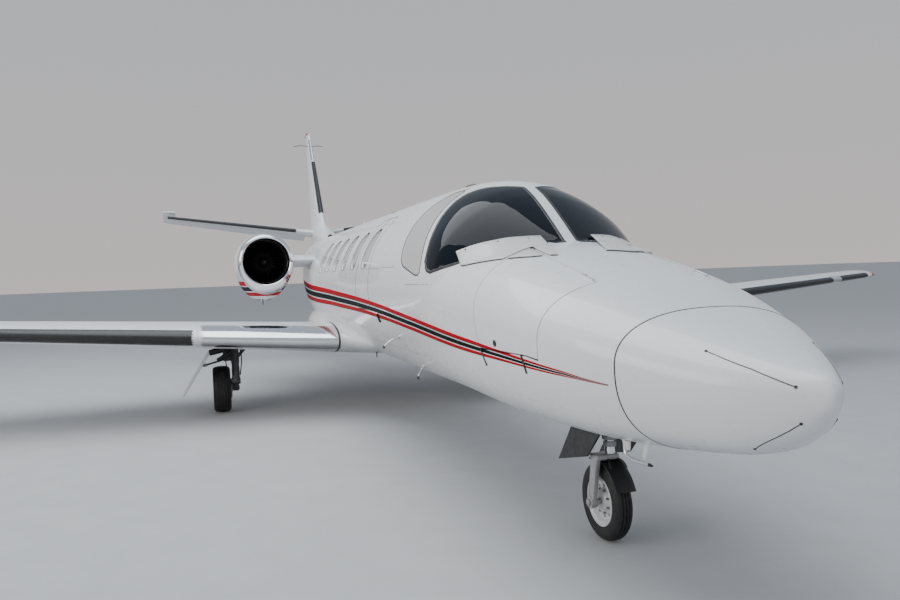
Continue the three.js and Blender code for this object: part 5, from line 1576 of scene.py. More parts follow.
@dataclass
class Aerials:
    """Blade antennas, probes, lights, wicks and the small fittings of the skin."""

    def build(self) -> None:
        """Builds all of them."""
        self._blades()
        self._probes()
        self._nose_fittings()
        self._lights()
        self._wicks()
        self._tail_fittings()

    def _on(self, s: float, y: float, under: bool = False) -> tuple[np.ndarray, np.ndarray]:
        """A point of the crown or the belly, and the skin's normal there."""
        point = HULL.crown([s], [y], under)
        return point[0], HULL.normals(point)[0]

    def _blades(self) -> None:
        """Blade antennas along the crown and the belly."""
        for name, s, y, height, chord, sweep, under in (
            ("antenna_forward", 3.92, 0.0, 0.042, 0.34, 0.04, False),
                                                        ("antenna_middle", 4.52, 0.0, 0.026, 0.18, 0.01,
                                                         False),
            ("antenna_roof", 6.66, 0.0, 0.050, 0.44, 0.05, False),
                                                        ("antenna_aft", 8.50, 0.0, 0.075, 0.10, 0.03, False),
            ("antenna_belly_aft", 10.60, 0.0, 0.12, 0.18, 0.08, True),
        ):
            root, up = self._on(s, y, under)
            foot = root - up * 0.001
            thick = 0.075 if height < 0.055 else 0.016
            plate_ring = blade(foot, up, 0.006, chord * 1.12, 0.0, thick * 2.2)
            finish = KNOB_GREY if thick > 0.05 else BLADE_WHITE
            dress(joined([blade(root, up, height, chord, sweep, thick), plate_ring]), name, finish)

    def _probes(self) -> None:
        """Probes and handles of both flanks."""
        for side in Side:
            made, heads = [], []
            for s, z, out_by, fall in ((3.765, 1.09, 0.135, 0.072), (3.798, 0.839, 0.06, 0.09)):
                root = at_side(s, z, side)
                out = HULL.normals(root[None])[0]
                tip = root + np.array([0.012, out_by * side.value, -fall])
                bend = root + (tip - root) * 0.5 + np.array([0, 0, 0.012])
                made.append(pipe([tuple(root - out * 0.01), tuple(bend), tuple(tip)], 0.0065, 4))
                made.append(rod(root - out * 0.002, root + out * 0.003, 0.022, 0.020, 28))
                heads.append(rod(tip - (tip - root) * 0.04, tip + np.array([0.03, 0, -0.004]), 0.0105,
                                 0.007, 20))
            dress(joined(heads), f"flank_probe_heads_{side.label}", SATIN_BLACK)
            dress(joined(made), f"flank_probes_{side.label}", CHROME)
            ends = [at_side(s, z, side, 0.010) for s, z in ((4.212, 1.26), (4.197, 1.196))]
            out = HULL.normals(ends[0][None])[0]
            bar = joined([pipe([tuple(e) for e in ends], 0.008),
                          *[rod(e - out * 0.012, e, 0.009, 0.007, 16) for e in ends]])
            dress(bar, f"flank_handle_{side.label}", SATIN_BLACK)

    def _nose_fittings(self) -> None:
        """Pitot heads, the angle blade, door latches and the small black port."""
        for side in Side:
            sign = side.value
            root, _ = self._on(1.05, 0.27 * sign, under=True)
            elbow = root + np.array([0.0, 0.0, -0.075])
            tube = pipe([tuple(root + np.array([-0.012, 0, 0.01])),
                         tuple(root + np.array([-0.010, 0, -0.058])),
                         tuple(elbow + np.array([0.012, 0, 0])), tuple(elbow + np.array([0.20, 0, 0]))],
                        0.009, 5)
            dress(tube, f"pitot_tube_{side.label}", CHROME)
            dress(blade(root, DOWN, 0.045, 0.075, -0.01, 0.026), f"pitot_mast_{side.label}", BLADE_WHITE)
            tip = rod(elbow + np.array([0.198, 0, 0]), elbow + np.array([0.226, 0, 0]), 0.009, 0.0045, 24)
            dress(tip, f"pitot_tip_{side.label}", SATIN_BLACK)
            root, _ = self._on(0.90, 0.25 * sign, under=True)
            dress(blade(root, DOWN, 0.08, 0.05, 0.03, 0.010), f"angle_blade_{side.label}", BLADE_WHITE)
            latches = []
            for foot, head in (((1.328, 1.068), (1.349, 1.164)), ((1.818, 1.06), (1.842, 1.157))):
                ends = [at_side(s, z, side, 0.0015) for s, z in (foot, head)]
                out = HULL.normals(ends[0][None])[0]
                bar = block((-0.5, -0.5, -0.5), (0.5, 0.5, 0.5), 0.0)
                latches.append(self._laid_bar(bar, ends, out, 0.016, 0.006))
            dress(joined(latches), f"door_latches_{side.label}", SATIN_BLACK,
                  body_of(f"baggage_door_{side.label}"))
            port = at_side(1.64, 1.20, side)
            out = HULL.normals(port[None])[0]
            dress(rod(port - out * 0.001, port + out * 0.002, 0.019, 0.018, 28), f"door_lock_{side.label}",
                  SATIN_BLACK,
                  body_of(f"baggage_door_{side.label}"))

    def _laid_bar(self, bar: Mesh, ends: Sequence[np.ndarray], out: np.ndarray, width: float,
                  thick: float) -> Mesh:
        """Lays a unit block between two points, flat against the skin."""
        along = ends[1] - ends[0]
        length = np.linalg.norm(along)
        along = along / length
        across = np.cross(out, along)
        turn = Matrix((along * length, across * width, np.cross(along, across) * thick)).transposed().to_4x4()
        bar.data.transform(Matrix.Translation((ends[0] + ends[1]) / 2) @ turn)
        with editing(bar):
            bpy.ops.mesh.normals_make_consistent(inside=False)
        return bevelled(bar, 0.0012)

    def _lights(self) -> None:
        """Wing tip lights, the beacon and the tail light."""
        for side, lens in ((Side.RIGHT, LENS_GREEN), (Side.LEFT, LENS_RED)):
            sign = side.value
            rows = [WING.outline(y * sign, 0.085, 0.085) for y in np.linspace(7.80, 7.925, 8)]
            dress(cover("tip_lens", WING, np.stack(rows), 0.004), f"tip_light_{side.label}", lens)
            rows = [WING.outline(y * sign, 0.10, 0.11) for y in np.linspace(6.9, 7.13, 8)]
            dress(cover("landing_lens", WING, np.stack(rows), 0.0016), f"landing_light_{side.label}",
                  LENS_CLEAR)
        top = FIN.table[-1]
        x = NOSE_X - (top[1] + top[2]) / 2
        dome = spun([(0, 0.045), (0.012, 0.045), (0.04, 0.038), (0.06, 0.022), (0.068, 0.0)],
                    (x, 0, top[0] - 0.015), (0, 0, 1), 40)
        dress(dome, "fin_beacon", LENS_RED)
        base = rod((x, 0, top[0] - 0.03), (x, 0, top[0] - 0.008), 0.06, 0.052, 40, 0.003)
        dress(base, "fin_beacon_base", SATIN)
        low = FAIR.crown([7.0], [0.0], True)[0]
        dome = spun([(-0.004, 0.05), (0.012, 0.05), (0.035, 0.04), (0.05, 0.02), (0.055, 0.0)], tuple(low),
                    (0, 0, -1), 40)
        dress(dome, "belly_beacon", LENS_RED)

    def _wicks(self) -> None:
        """Static wicks on the trailing edges, each on its own moving surface."""
        for side in Side:
            sign = side.value
            groups = {
                f"aileron_{side.label}": [self._wing_edge(y * sign) for y in (5.3, 6.1, 6.9, 7.35)],
                f"elevator_{side.label}": [self._tail_edge(y * sign, side) for y in (1.6, 2.1, 2.55)],
            }
            for node, roots in groups.items():
                made = [pipe([tuple(p), tuple(p + np.array([-0.06, 0, 0.004])),
                              tuple(p + np.array([-0.14, 0, -0.004]))], 0.0022)
                        for p in roots]
                made += [rod(p + np.array([0.012, 0, 0]), p + np.array([-0.016, 0, 0]), 0.0045, 0.003, 12)
                         for p in roots]
                dress(joined(made), f"{node}_wicks", SATIN_BLACK, body_of(node))
        made = []
        for z in (3.1, 3.6, 4.1, 4.35):
            te = float(np.interp(z, FIN.table[:, 0], FIN.table[:, 2]))
            p = np.array([NOSE_X - te, 0, z])
            made.append(rod(p + np.array([0.01, 0, 0]), p + np.array([-0.10 * (z < 4.2), 0, 0.01]), 0.003,
                            0.002, 10))
        dress(joined(made), "rudder_wicks", SATIN_BLACK, body_of("rudder"))

    def _wing_edge(self, y: float) -> np.ndarray:
        """A point of the wing's trailing edge."""
        le, chord, z, _, fall, inset = (float(v[0]) for v in WING.laid(np.array([abs(y)])))
        return np.array([NOSE_X - le - chord + inset, y, z - (chord - inset) * fall])

    def _tail_edge(self, y: float, side: Side) -> np.ndarray:
        """A point of the drooped elevator's trailing edge."""
        form = drooped_tail(side)
        le, chord, z, _, _, _ = (float(v[0]) for v in form.laid(np.array([abs(y)])))
        return np.array(form.turn @ Vector((NOSE_X - le - chord, y, z)))

    def _tail_fittings(self) -> None:
        """The fin's whiskers, the drains, the dorsal inlets and the fuel caps."""
        whiskers = [pipe([(NOSE_X - 13.95, sign * 0.01, 4.30), (NOSE_X - 13.85, sign * 0.12, 4.31),
                          (NOSE_X - 14.06, sign * 0.30, 4.33)], 0.006)
                    for sign in (-1, 1)]
        dress(joined(whiskers), "fin_aerial", SATIN_BLACK)
        mast = [blade(*self._on(10.2, sign * 0.22, True), 0.10, 0.06, 0.05, 0.014) for sign in (-1, 1)]
        dress(joined(mast), "drain_masts", BLADE_WHITE)
        inlets = [rod((NOSE_X - 10.75, sign * 0.115, 2.272), (NOSE_X - 10.87, sign * 0.12, 2.280), 0.030,
                      0.042, 28)
                  for sign in (-1, 1)]
        dress(joined(inlets), "dorsal_inlets", SATIN_BLACK)
        low = FAIR.crown([5.95], [-0.44], True)[0]
        dress(blade(low, DOWN, 0.06, 0.05, 0.01, 0.012), "fairing_drain", SATIN_BLACK)
        for side in Side:
            foot = np.array([[NOSE_X - 8.62, (ENGINE_Y + 0.03) * side.value, ENGINE_Z - 0.48]])
            foot = cowl_form(side).settle(foot, 0.2)[0]
            dress(blade(foot, DOWN, 0.075, 0.05, 0.012, 0.014), f"engine_drain_{side.label}", SATIN_BLACK)
        for side in Side:
            y = 5.1 * side.value
            out = WING.outline(y, 0.62, 0.10)[0]
            n = WING.normals(out[None])[0]
            dress(rod(out - n * 0.002, out + n * 0.0015, 0.045, 0.044, 40), f"fuel_cap_{side.label}", SATIN)


# Landing gear, engines and cabin.


@dataclass(frozen=True)
class Wheel:
    """A landing wheel: a grooved tyre on a drilled rim with bolts and a hub cap."""

    name: str
    centre: Point
    radius: float
    half: float
    rim: float
    rim_half: float
    grooves: tuple[float, ...]
    bore: float
    cap_side: int
    suffix: str = ""

    def build(self) -> None:
        """Builds the tyre and the rim."""
        body = body_of(f"{self.name}_tyre{self.suffix}")
        tyre = spun(self._tyre_profile(), self.centre, (0, 1, 0), 96)
        dress(tyre, f"{self.name}_tyre_grooved{self.suffix}", RUBBER, body,
              [f"{self.name}_tyre{self.suffix}"], 28)
        dress(self._rim(), f"{self.name}_rim_drilled{self.suffix}", RIM_WHITE, body,
              [f"{self.name}_rim{self.suffix}"], 28)
        dress(self._bolts(), f"{self.name}_wheel_bolts{self.suffix}", STEEL, body)
        dress(self._cap(), f"{self.name}_hub_cap{self.suffix}", SATIN_BLACK, body)

    def _tyre_profile(self) -> list[tuple[float, float]]:
        """The tyre's section as (across, radius), starting and ending at one bead."""
        shoulder = self.radius - 0.05
        across = set(np.round(np.sin(np.linspace(-math.pi / 2, math.pi / 2, 33)) * self.half, 5))
        for g in self.grooves:
            across -= {a for a in across if abs(a - g) < 0.005}
        crown = [(float(a), shoulder + 0.05 * max(1 - abs(a / self.half) ** 2.6, 0) ** (1 / 2.6))
                 for a in sorted(across)]
        for g in self.grooves:
            r = shoulder + 0.05 * (1 - abs(g / self.half) ** 2.6) ** (1 / 2.6)
            crown += [(g - 0.0032, r), (g - 0.0024, r - 0.006), (g + 0.0024, r - 0.006), (g + 0.0032, r)]
        crown.sort()
        wall = [(self.half - 0.014, self.rim), (self.half - 0.011, self.rim + 0.009),
                (self.half - 0.006, self.rim + 0.012),
                (self.half - 0.003, self.rim + 0.018), (self.half - 0.001, self.rim + 0.026)]
        left = [(-a, r) for a, r in wall]
        return left + crown + wall[::-1] + [left[0]]

    def _rim(self) -> Mesh:
        """The rim, drilled all round."""
        h, r = self.rim_half, self.rim
        face = [(h - 0.004, r + 0.0065), (h, r + 0.006), (h + 0.001, r - 0.003), (h - 0.006, r - 0.010),
                (h - 0.010, r * 0.86),
                (h - 0.030, r * 0.78), (h - 0.034, r * 0.72), (h - 0.034, r * 0.56), (h - 0.026, r * 0.49),
                (h - 0.012, r * 0.44), (h - 0.008, r * 0.40), (h - 0.008, self.bore)]
        well = [(h - 0.012, r - 0.004), (h - 0.008, r + 0.002)]
        outline = [(-a, v) for a, v in well[::-1]] + [(-a, v) for a, v in face] + face[::-1] + well[::-1]
        made = spun(outline + [outline[0]], self.centre, (0, 1, 0), 80)
        holes = [rod(self._spot(i, 10, r * 0.645, -0.2), self._spot(i, 10, r * 0.645, 0.2), r * 0.085,
                     sides=20) for i in range(10)]
        cutter = joined(holes)
        made = modified(made, "BOOLEAN", operation="DIFFERENCE", object=cutter, solver="EXACT")
        bpy.data.objects.remove(cutter)
        return bevelled(made, 0.0014, 1)

    def _spot(self, i: int, count: int, radius: float, across: float) -> Point:
        """A place on a circle about the axle."""
        a = 2 * math.pi * (i + 0.5) / count
        return (self.centre[0] + radius * math.cos(a), self.centre[1] + across,
                self.centre[2] + radius * math.sin(a))

    def _bolts(self) -> Mesh:
        """Tie bolts round both faces."""
        made = []
        for sign in (-1, 1):
            for i in range(8):
                inner, outer = ((self.rim_half - d) * sign for d in (0.026, 0.012))
                made.append(rod(self._spot(i, 8, self.rim * 0.50, inner),
                                self._spot(i, 8, self.rim * 0.50, outer), 0.007, sides=6))
        return joined(made)

    def _cap(self) -> Mesh:
        """The hub cap on the wheel's outer face."""
        h, r = self.rim_half - 0.008, self.rim * 0.40
        dome = [(h - 0.002, r), (h + 0.006, r), (h + 0.010, r * 0.9), (h + 0.012, r * 0.5),
                (h + 0.018, r * 0.42), (h + 0.020, 0.0)]
        made = spun([(a * self.cap_side, v) for a, v in dome], self.centre, (0, 1, 0), 48)
        with editing(made):
            bpy.ops.mesh.select_all(action="DESELECT")
            bpy.ops.mesh.select_non_manifold()
            bpy.ops.mesh.edge_face_add()
            bpy.ops.mesh.select_all(action="SELECT")
            bpy.ops.mesh.normals_make_consistent(inside=False)
        return made


@dataclass(frozen=True)
class NoseGear:
    """The nose leg, the steered fork with its mudguard, the bay's doors and the wheel."""

    leg: float = NOSE_X - 1.7
    axle: float = NOSE_X - 1.757
    axle_z: float = 0.2286

    def build(self) -> None:
        """Builds the gear."""
        self._leg()
        self._fork()
        self._guard()
        self._doors()
        Wheel("nose", (self.axle, 0, self.axle_z), 0.2286, 0.056, 0.14, 0.048, (-0.021, 0.0, 0.021), 0.0178,
              1).build()

    def _leg(self) -> None:
        """The fixed leg, its trunnion, drag strut and steering motor."""
        profile = [(0.602, 0.0), (0.602, 0.044), (0.618, 0.047), (0.632, 0.047), (0.636, 0.040),
                   (0.66, 0.040), (0.664, 0.046),
                   (0.70, 0.046), (0.704, 0.041), (0.80, 0.041), (0.81, 0.046), (0.885, 0.044), (0.89, 0.0)]
        made = [spun(profile, (self.leg, 0, 0), (0, 0, 1), 48)]
        made.append(block((self.leg - 0.065, -0.052, 0.655), (self.leg + 0.055, 0.052, 0.712), 0.012, 3))
        made.append(rod((self.leg, -0.117, 0.86), (self.leg, 0.117, 0.86), 0.026, bevel=0.003))
        made.append(rod((self.leg + 0.02, 0, 0.69), (self.leg + 0.20, 0, 0.79), 0.019, bevel=0.002))
        made.append(rod((self.leg + 0.19, 0, 0.784), (NOSE_X - 1.33, 0, 0.89), 0.015, bevel=0.002))
        made.append(rod((NOSE_X - 1.33, -0.117, 0.89), (NOSE_X - 1.33, 0.117, 0.89), 0.018, bevel=0.002))
        made.append(rod((self.leg + 0.195, -0.03, 0.787), (self.leg + 0.195, 0.03, 0.787), 0.022,
                        bevel=0.003))
        made.append(rod((self.leg - 0.05, -0.075, 0.684), (self.leg - 0.05, 0.075, 0.684), 0.022,
                        bevel=0.003))
        dress(joined(made), "nose_leg_struts", GEAR_GREY, "airframe", ["nose_leg"])
        lines = [pipe([(self.leg + 0.03, s * 0.036, 0.62), (self.leg + 0.046, s * 0.045, 0.68),
                       (self.leg + 0.044, s * 0.04, 0.76),
                       (self.leg + 0.03, s * 0.03, 0.84)], 0.0045) for s in (-1, 1)]
        bands = [rod((self.leg, 0, z), (self.leg, 0, z + 0.008), 0.0465, sides=40) for z in (0.75, 0.785)]
        dress(joined(lines + bands), "nose_leg_lines", SATIN_BLACK)

    def _fork(self) -> None:
        """The sliding tube, the fork's crown and its one arm, with the axle."""
        tube = spun([(0.51, 0.0), (0.51, 0.030), (0.597, 0.030), (0.597, 0.0)], (self.leg, 0, 0), (0, 0, 1),
                    48)
        collar = spun([(0.560, 0.029), (0.560, 0.036), (0.566, 0.038), (0.588, 0.038), (0.592, 0.035),
                       (0.592, 0.029)],
                      (self.leg, 0, 0), (0, 0, 1), 48)
        dress(tube, "nose_fork_tube", CHROME, body_of("nose_fork"))
        x, z = self.axle, self.axle_z
        arm = plate([(self.leg + 0.034, -0.075, 0.51), (self.leg - 0.044, -0.075, 0.51),
                     (self.leg - 0.058, -0.075, 0.40),
                     (x - 0.036, -0.075, z + 0.03), (x - 0.030, -0.075, z - 0.022),
                     (x - 0.012, -0.075, z - 0.036),
                     (x + 0.012, -0.075, z - 0.036), (x + 0.030, -0.075, z - 0.022),
                     (x + 0.036, -0.075, z + 0.03),
                     (self.leg + 0.012, -0.075, 0.42)], (0, -0.030, 0), 0.007)
        crown = block((self.leg - 0.055, -0.106, 0.488), (self.leg + 0.040, 0.040, 0.520), 0.011, 3)
        pad = rod((x, -0.112, z), (x, -0.070, z), 0.036, sides=40, bevel=0.004)
        axle = rod((x, -0.116, z), (x, 0.030, z), 0.0155, sides=32)
        nut = rod((x, -0.124, z), (x, -0.110, z), 0.021, sides=6, bevel=0.002)
        lug = rod((self.leg - 0.06, -0.02, 0.505), (self.leg - 0.06, 0.02, 0.505), 0.014, sides=24)
        dress(joined([arm, crown, collar, pad, axle, nut, lug]), "nose_fork_arm", GEAR_GREY,
              body_of("nose_fork"), ["nose_fork"])

    def _guard(self) -> None:
        """The mudguard, rolled over the wheel, and its stays."""
        rows = []
        for a in np.radians(np.linspace(24, 110, 40)):
            row = []
            for y, r in ((-0.062, 0.2440), (-0.0615, 0.2515), (-0.057, 0.2545), (-0.03, 0.2560),
                         (0.0, 0.2565), (0.03, 0.2560),
                         (0.057, 0.2545), (0.0615, 0.2515), (0.062, 0.2440)):
                row.append((self.axle + r * math.cos(a), y, self.axle_z + r * math.sin(a)))
            rows.append(row)
        sheet = grid_mesh("guard", np.array(rows))
        modified(sheet, "SOLIDIFY", thickness=0.0022, offset=0.0)
        with editing(sheet):
            bpy.ops.mesh.normals_make_consistent(inside=False)
        stays = [pipe([(self.leg + 0.03, s * 0.03, 0.495), (self.leg + 0.07, s * 0.045, 0.478),
                       (self.leg + 0.10, s * 0.05, 0.452)], 0.005)
                 for s in (-1, 1)]
        dress(joined([sheet, *stays]), "nose_mudguard", SATIN_BLACK, body_of("nose_fork"))

    def _doors(self) -> None:
        """Dresses the bay's doors in satin black as painted shade, and adds their hinge arms and stiffeners.
        """
        for side in Side:
            # Satin black on the door plates is painted shade for the shadow under the nose.
            dress_node(f"nose_gear_door_{side.label}", SATIN_BLACK, 0.003)
            y = side.value * 0.130
            made = [pipe([(NOSE_X - s, y, 0.69), (NOSE_X - s, side.value * 0.118, 0.725),
                          (NOSE_X - s, side.value * 0.112, 0.76)], 0.007)
                    for s in (1.62, 1.80)]
            made.append(rod((NOSE_X - 1.62, y, 0.655), (NOSE_X - 1.86, y, 0.655), 0.006, sides=12))
            dress(joined(made), f"nose_door_hinges_{side.label}", STEEL)


@dataclass(frozen=True)
class MainGear:
    """One main gear: leg, trailing arm, shock strut, brake, outer door and wheel."""

    side: Side

    def build(self) -> None:
        """Builds the gear."""
        sign = self.side.value
        leg, axle = NOSE_X - 7.37, NOSE_X - 7.54
        y, z, knee, roof = 1.875 * sign, 0.2794, 0.385, 0.955
        profile = [(knee, 0.0), (knee, 0.044), (0.42, 0.046), (0.55, 0.046), (0.556, 0.042), (0.60, 0.042),
                   (0.606, 0.047),
                   (0.66, 0.047), (0.666, 0.043), (0.83, 0.043), (0.836, 0.046), (roof, 0.046), (roof, 0.0)]
        made = [spun(profile, (leg, y, 0), (0, 0, 1), 48)]
        made.append(rod((leg, y - 0.052, knee), (leg, y + 0.052, knee), 0.040, sides=40, bevel=0.004))
        arm = plate([(leg + 0.036, y - 0.034, knee + 0.01), (leg + 0.026, y - 0.034, knee - 0.026),
                     (leg, y - 0.034, knee - 0.038),
                     (axle - 0.02, y - 0.034, z - 0.042), (axle - 0.044, y - 0.034, z - 0.03),
                     (axle - 0.046, y - 0.034, z + 0.03),
                     (axle - 0.02, y - 0.034, z + 0.046), (leg, y - 0.034, knee + 0.038)], (0, 0.068, 0),
                    0.008)
        made.append(arm)
        made.append(rod((axle, y - 0.044 * sign, z), (axle, sign * 2.108, z), 0.0252, sides=40))
        made.append(rod((axle + 0.006, y, z + 0.04), (axle + 0.012, y, 0.56), 0.020, sides=32))
        made.append(rod((leg - 0.155, y, 0.53), (leg - 0.12, y, 0.95), 0.032, sides=32, bevel=0.003))
        made.append(rod((leg, y, 0.64), (leg, sign * 1.60, 0.955), 0.020, sides=24, bevel=0.002))
        made.append(rod((leg + 0.02, y + 0.02 * sign, 0.68), (leg + 0.02, sign * 2.25, 0.59), 0.012,
                        sides=20))
        made.append(rod((leg, y - 0.02 * sign, 0.62), (leg, y + 0.05 * sign, 0.62), 0.020, sides=24,
                        bevel=0.002))
        dress(joined(made), f"main_gear_struts_{self.side.label}", GEAR_DARK, "airframe",
              [f"main_gear_leg_{self.side.label}"])
        links = [rod((leg - 0.03, y + 0.01 * sign, 0.80), (leg - 0.03, sign * 2.17, 0.735), 0.042, 0.036,
                     sides=28, bevel=0.004),
                 rod((leg + 0.05, y + 0.01 * sign, 0.76), (leg + 0.045, sign * 2.08, 0.645), 0.026,
                     sides=24, bevel=0.003),
                 block((leg - 0.10, min(y, y + 0.14 * sign), 0.63),
                       (leg + 0.02, max(y, y + 0.14 * sign), 0.77), 0.014, 3)]
        hoses = [pipe([(leg + 0.05, y + k * sign, 0.82), (leg + 0.085, y + k * sign * 1.4, 0.66),
                       (leg + 0.05, y + k * sign, 0.46)], 0.007)
                 for k in (-0.05, 0.03, 0.08)]
        dress(joined(links + hoses), f"main_gear_links_{self.side.label}", SATIN_BLACK)
        chrome = rod((axle + 0.008, y, 0.46), (axle + 0.014, y, 0.56), 0.0215, sides=32)
        dress(chrome, f"shock_piston_{self.side.label}", CHROME)
        self._brake(axle, z)
        Wheel("main", (axle, 2.04 * sign, z), 0.2794, 0.1015, 0.165, 0.075, (-0.054, -0.018, 0.018, 0.054),
              0.028, self.side.value,
              f"_{self.side.label}").build()
        dress_node(f"main_gear_door_{self.side.label}", DOOR_WHITE, 0.002)
        stays = [pipe([(leg + 0.02, sign * 2.20, 0.60), (leg + 0.02, sign * 2.235, 0.597)], 0.02)]
        dress(joined(stays), f"main_door_lug_{self.side.label}", STEEL)

    def _brake(self, axle: float, z: float) -> None:
        """The brake's discs and calipers, between the arm and the rim."""
        sign = self.side.value
        y0 = 1.922 * sign
        discs = [rod((axle, y0 + 0.009 * i * sign, z), (axle, y0 + (0.009 * i + 0.005) * sign, z), 0.118,
                     sides=64) for i in range(3)]
        housing = rod((axle, y0 - 0.002 * sign, z), (axle, y0 + 0.030 * sign, z), 0.066, sides=40,
                      bevel=0.003)
        made = discs + [housing]
        for a in (0.6, 1.5, 2.4, 3.6):
            x, up = axle + 0.095 * math.cos(a), z + 0.095 * math.sin(a)
            made.append(rod((x, y0 - 0.012 * sign, up), (x, y0 + 0.034 * sign, up), 0.021, sides=20,
                            bevel=0.002))
        dress(joined(made), f"brake_{self.side.label}", STEEL)
        line = pipe([(axle + 0.08, y0 - 0.01 * sign, z + 0.10), (axle + 0.16, 1.90 * sign, 0.44),
                     (NOSE_X - 7.32, 1.90 * sign, 0.52),
                     (NOSE_X - 7.322, 1.90 * sign, 0.70)], 0.005)
        dress(line, f"brake_pipe_{self.side.label}", SATIN_BLACK)


def dress_node(node: str, finish: Finish, bevel: float = 0.0) -> None:
    """Gives a CAD node a finish, and rounds its edges with a modifier that stays on it."""
    obj = frame["nodes"][node]
    obj.data.materials.clear()
    obj.data.materials.append(finish.material())
    if bevel:
        modifier = obj.modifiers.new("Edges", "BEVEL")
        modifier.width, modifier.segments = bevel, 2
        modifier.limit_method, modifier.angle_limit = "ANGLE", 0.5


@dataclass(frozen=True)
class Engine:
    """One engine: inlet lip, spinner and fan, guide vanes, and the exhaust's plug and struts."""

    side: Side
    blades: int = 22
    guides: int = 28
    struts: int = 8
    lip_steps: int = 120

    def build(self) -> None:
        """Builds the parts that show inside the nacelle."""
        label, sign = self.side.label, self.side.value
        origin = np.array([NOSE_X - ENGINE_S, ENGINE_Y * sign, ENGINE_Z])
        body = body_of(f"fan_{label}")
        self._lip(origin)
        nose = [(0.320, 0.0), (0.326, 0.016), (0.350, 0.040), (0.385, 0.064), (0.420, 0.083),
                (0.470, 0.094), (0.520, 0.098),
                (0.536, 0.062), (0.536, 0.0)]
        spinner = spun([(-a, r) for a, r in nose], tuple(origin), (1, 0, 0), 56)
        dress(spinner, f"fan_spinner_{label}", SATIN_BLACK, body)
        rows = [self._vane(i, self.blades, 0.475, 0.084, 0.2775, (28, 61), (0.085, 0.105), 0.010)
                for i in range(self.blades)]
        # The fan's near-black metal is painted shade for the inside of the intake.
        fan = modified(self._moved(joined(rows), origin), "SOLIDIFY", thickness=0.0045, offset=0.0)
        dress(fan, f"fan_blades_{label}", SHADED_BLADE_METAL, body, [f"fan_{label}"])
        guides = [self._vane(i, self.guides, 0.600, 0.075, 0.284, (8, 10), (0.055, 0.06), 0.006)
                  for i in range(self.guides)]
        made = modified(self._moved(joined(guides), origin), "SOLIDIFY", thickness=0.004, offset=0.0)
        dress(made, f"guide_vanes_{label}", STEEL)
        core = [(0.545, 0.0), (0.545, 0.070), (0.640, 0.080), (0.700, 0.13), (0.78, 0.236), (0.81, 0.2395),
                (1.95, 0.2395), (1.965, 0.21),
                (1.985, 0.188), (2.06, 0.170), (2.065, 0.172), (2.075, 0.168), (2.16, 0.115), (2.24, 0.062),
                (2.285, 0.036), (2.297, 0.0)]
        plug = spun([(-a, r) for a, r in core], tuple(origin), (1, 0, 0), 64)
        dress(plug, f"exhaust_plug_{label}", HOT_METAL, "airframe", [f"engine_core_{label}"])
        struts = [self._vane(i, self.struts, 2.02, 0.17, 0.249, (0, 0), (0.09, 0.09), 0.0)
                  for i in range(self.struts)]
        made = modified(self._moved(joined(struts), origin), "SOLIDIFY", thickness=0.006, offset=0.0)
        dress(made, f"exhaust_struts_{label}", HOT_METAL)

    def _lip(self, origin: np.ndarray) -> None:
        """The polished inlet lip as one smooth ring, and the joint behind it."""
        cowl, table = cowl_form(self.side), np.array(INTAKE) / 1000
        angles = np.linspace(0, 2 * math.pi, self.lip_steps, endpoint=False)
        round_about = np.stack([0 * angles, np.cos(angles), np.sin(angles)], 1)
        rows = []
        for aft in (0.13, 0.10, 0.07, 0.045, 0.028, 0.016, 0.009, 0.004, 0.0015):
            middle = np.tile(origin - np.array([aft, 0, 0]), (self.lip_steps, 1))
            rows.append(cowl.cast(middle + 0.6 * round_about, middle))
        joint = rows[0] - np.array([0.004, 0, 0])
        rows.append(origin + np.array([0.0004, 0, 0]) + round_about * 0.3185)
        for aft in (0.0006, 0.003, 0.007, 0.012, 0.02, 0.032, 0.05, 0.075, 0.10, 0.13):
            rows.append(origin - np.array([aft, 0, 0]) + round_about * np.interp(aft, table[:, 0],
                                                                                 table[:, 1]))
        rows.append(rows[0])
        made = grid_mesh("lip", np.array(rows), closed=True)
        with editing(made):
            bpy.ops.mesh.remove_doubles(threshold=0.00005)
            bpy.ops.mesh.normals_make_consistent(inside=False)
        label = self.side.label
        dress(made, f"inlet_ring_{label}", POLISHED, "airframe", [f"inlet_lip_{label}"], 40)
        bead = outward(strip("cowl_joint", joint, cowl, 0.006, 0.0012, True), cowl)
        dress(bead, f"cowl_joint_{label}", SEAL)

    def _vane(self, i: int, count: int, middle: float, inner: float, outer: float, turn: tuple[float, float],
              chord: tuple[float, float], camber: float) -> Mesh:
        """One twisted blade as a sheet, placed about the X axis."""
        rows = []
        angle = 2 * math.pi * i / count
        out = np.array([0, math.cos(angle), math.sin(angle)])
        round_about = np.array([0, -math.sin(angle), math.cos(angle)])
        for t in np.linspace(0, 1, 8):
            a, c = math.radians(turn[0] + (turn[1] - turn[0]) * t), chord[0] + (chord[1] - chord[0]) * t
            row = []
            for u in np.linspace(-0.5, 0.5, 7):
                along = u * c * math.cos(a) + camber * (1 - 4 * u * u) * math.sin(a)
                across = u * c * math.sin(a) - camber * (1 - 4 * u * u) * math.cos(a)
                radial = out * (inner + (outer - inner) * t)
                row.append(radial + round_about * across + np.array([-middle - along, 0, 0]))
            rows.append(row)
        return grid_mesh("vane", np.array(rows))

    def _moved(self, obj: Mesh, origin: np.ndarray) -> Mesh:
        """Moves a mesh to the engine's axis."""
        obj.data.transform(Matrix.Translation(tuple(origin)))
        return obj


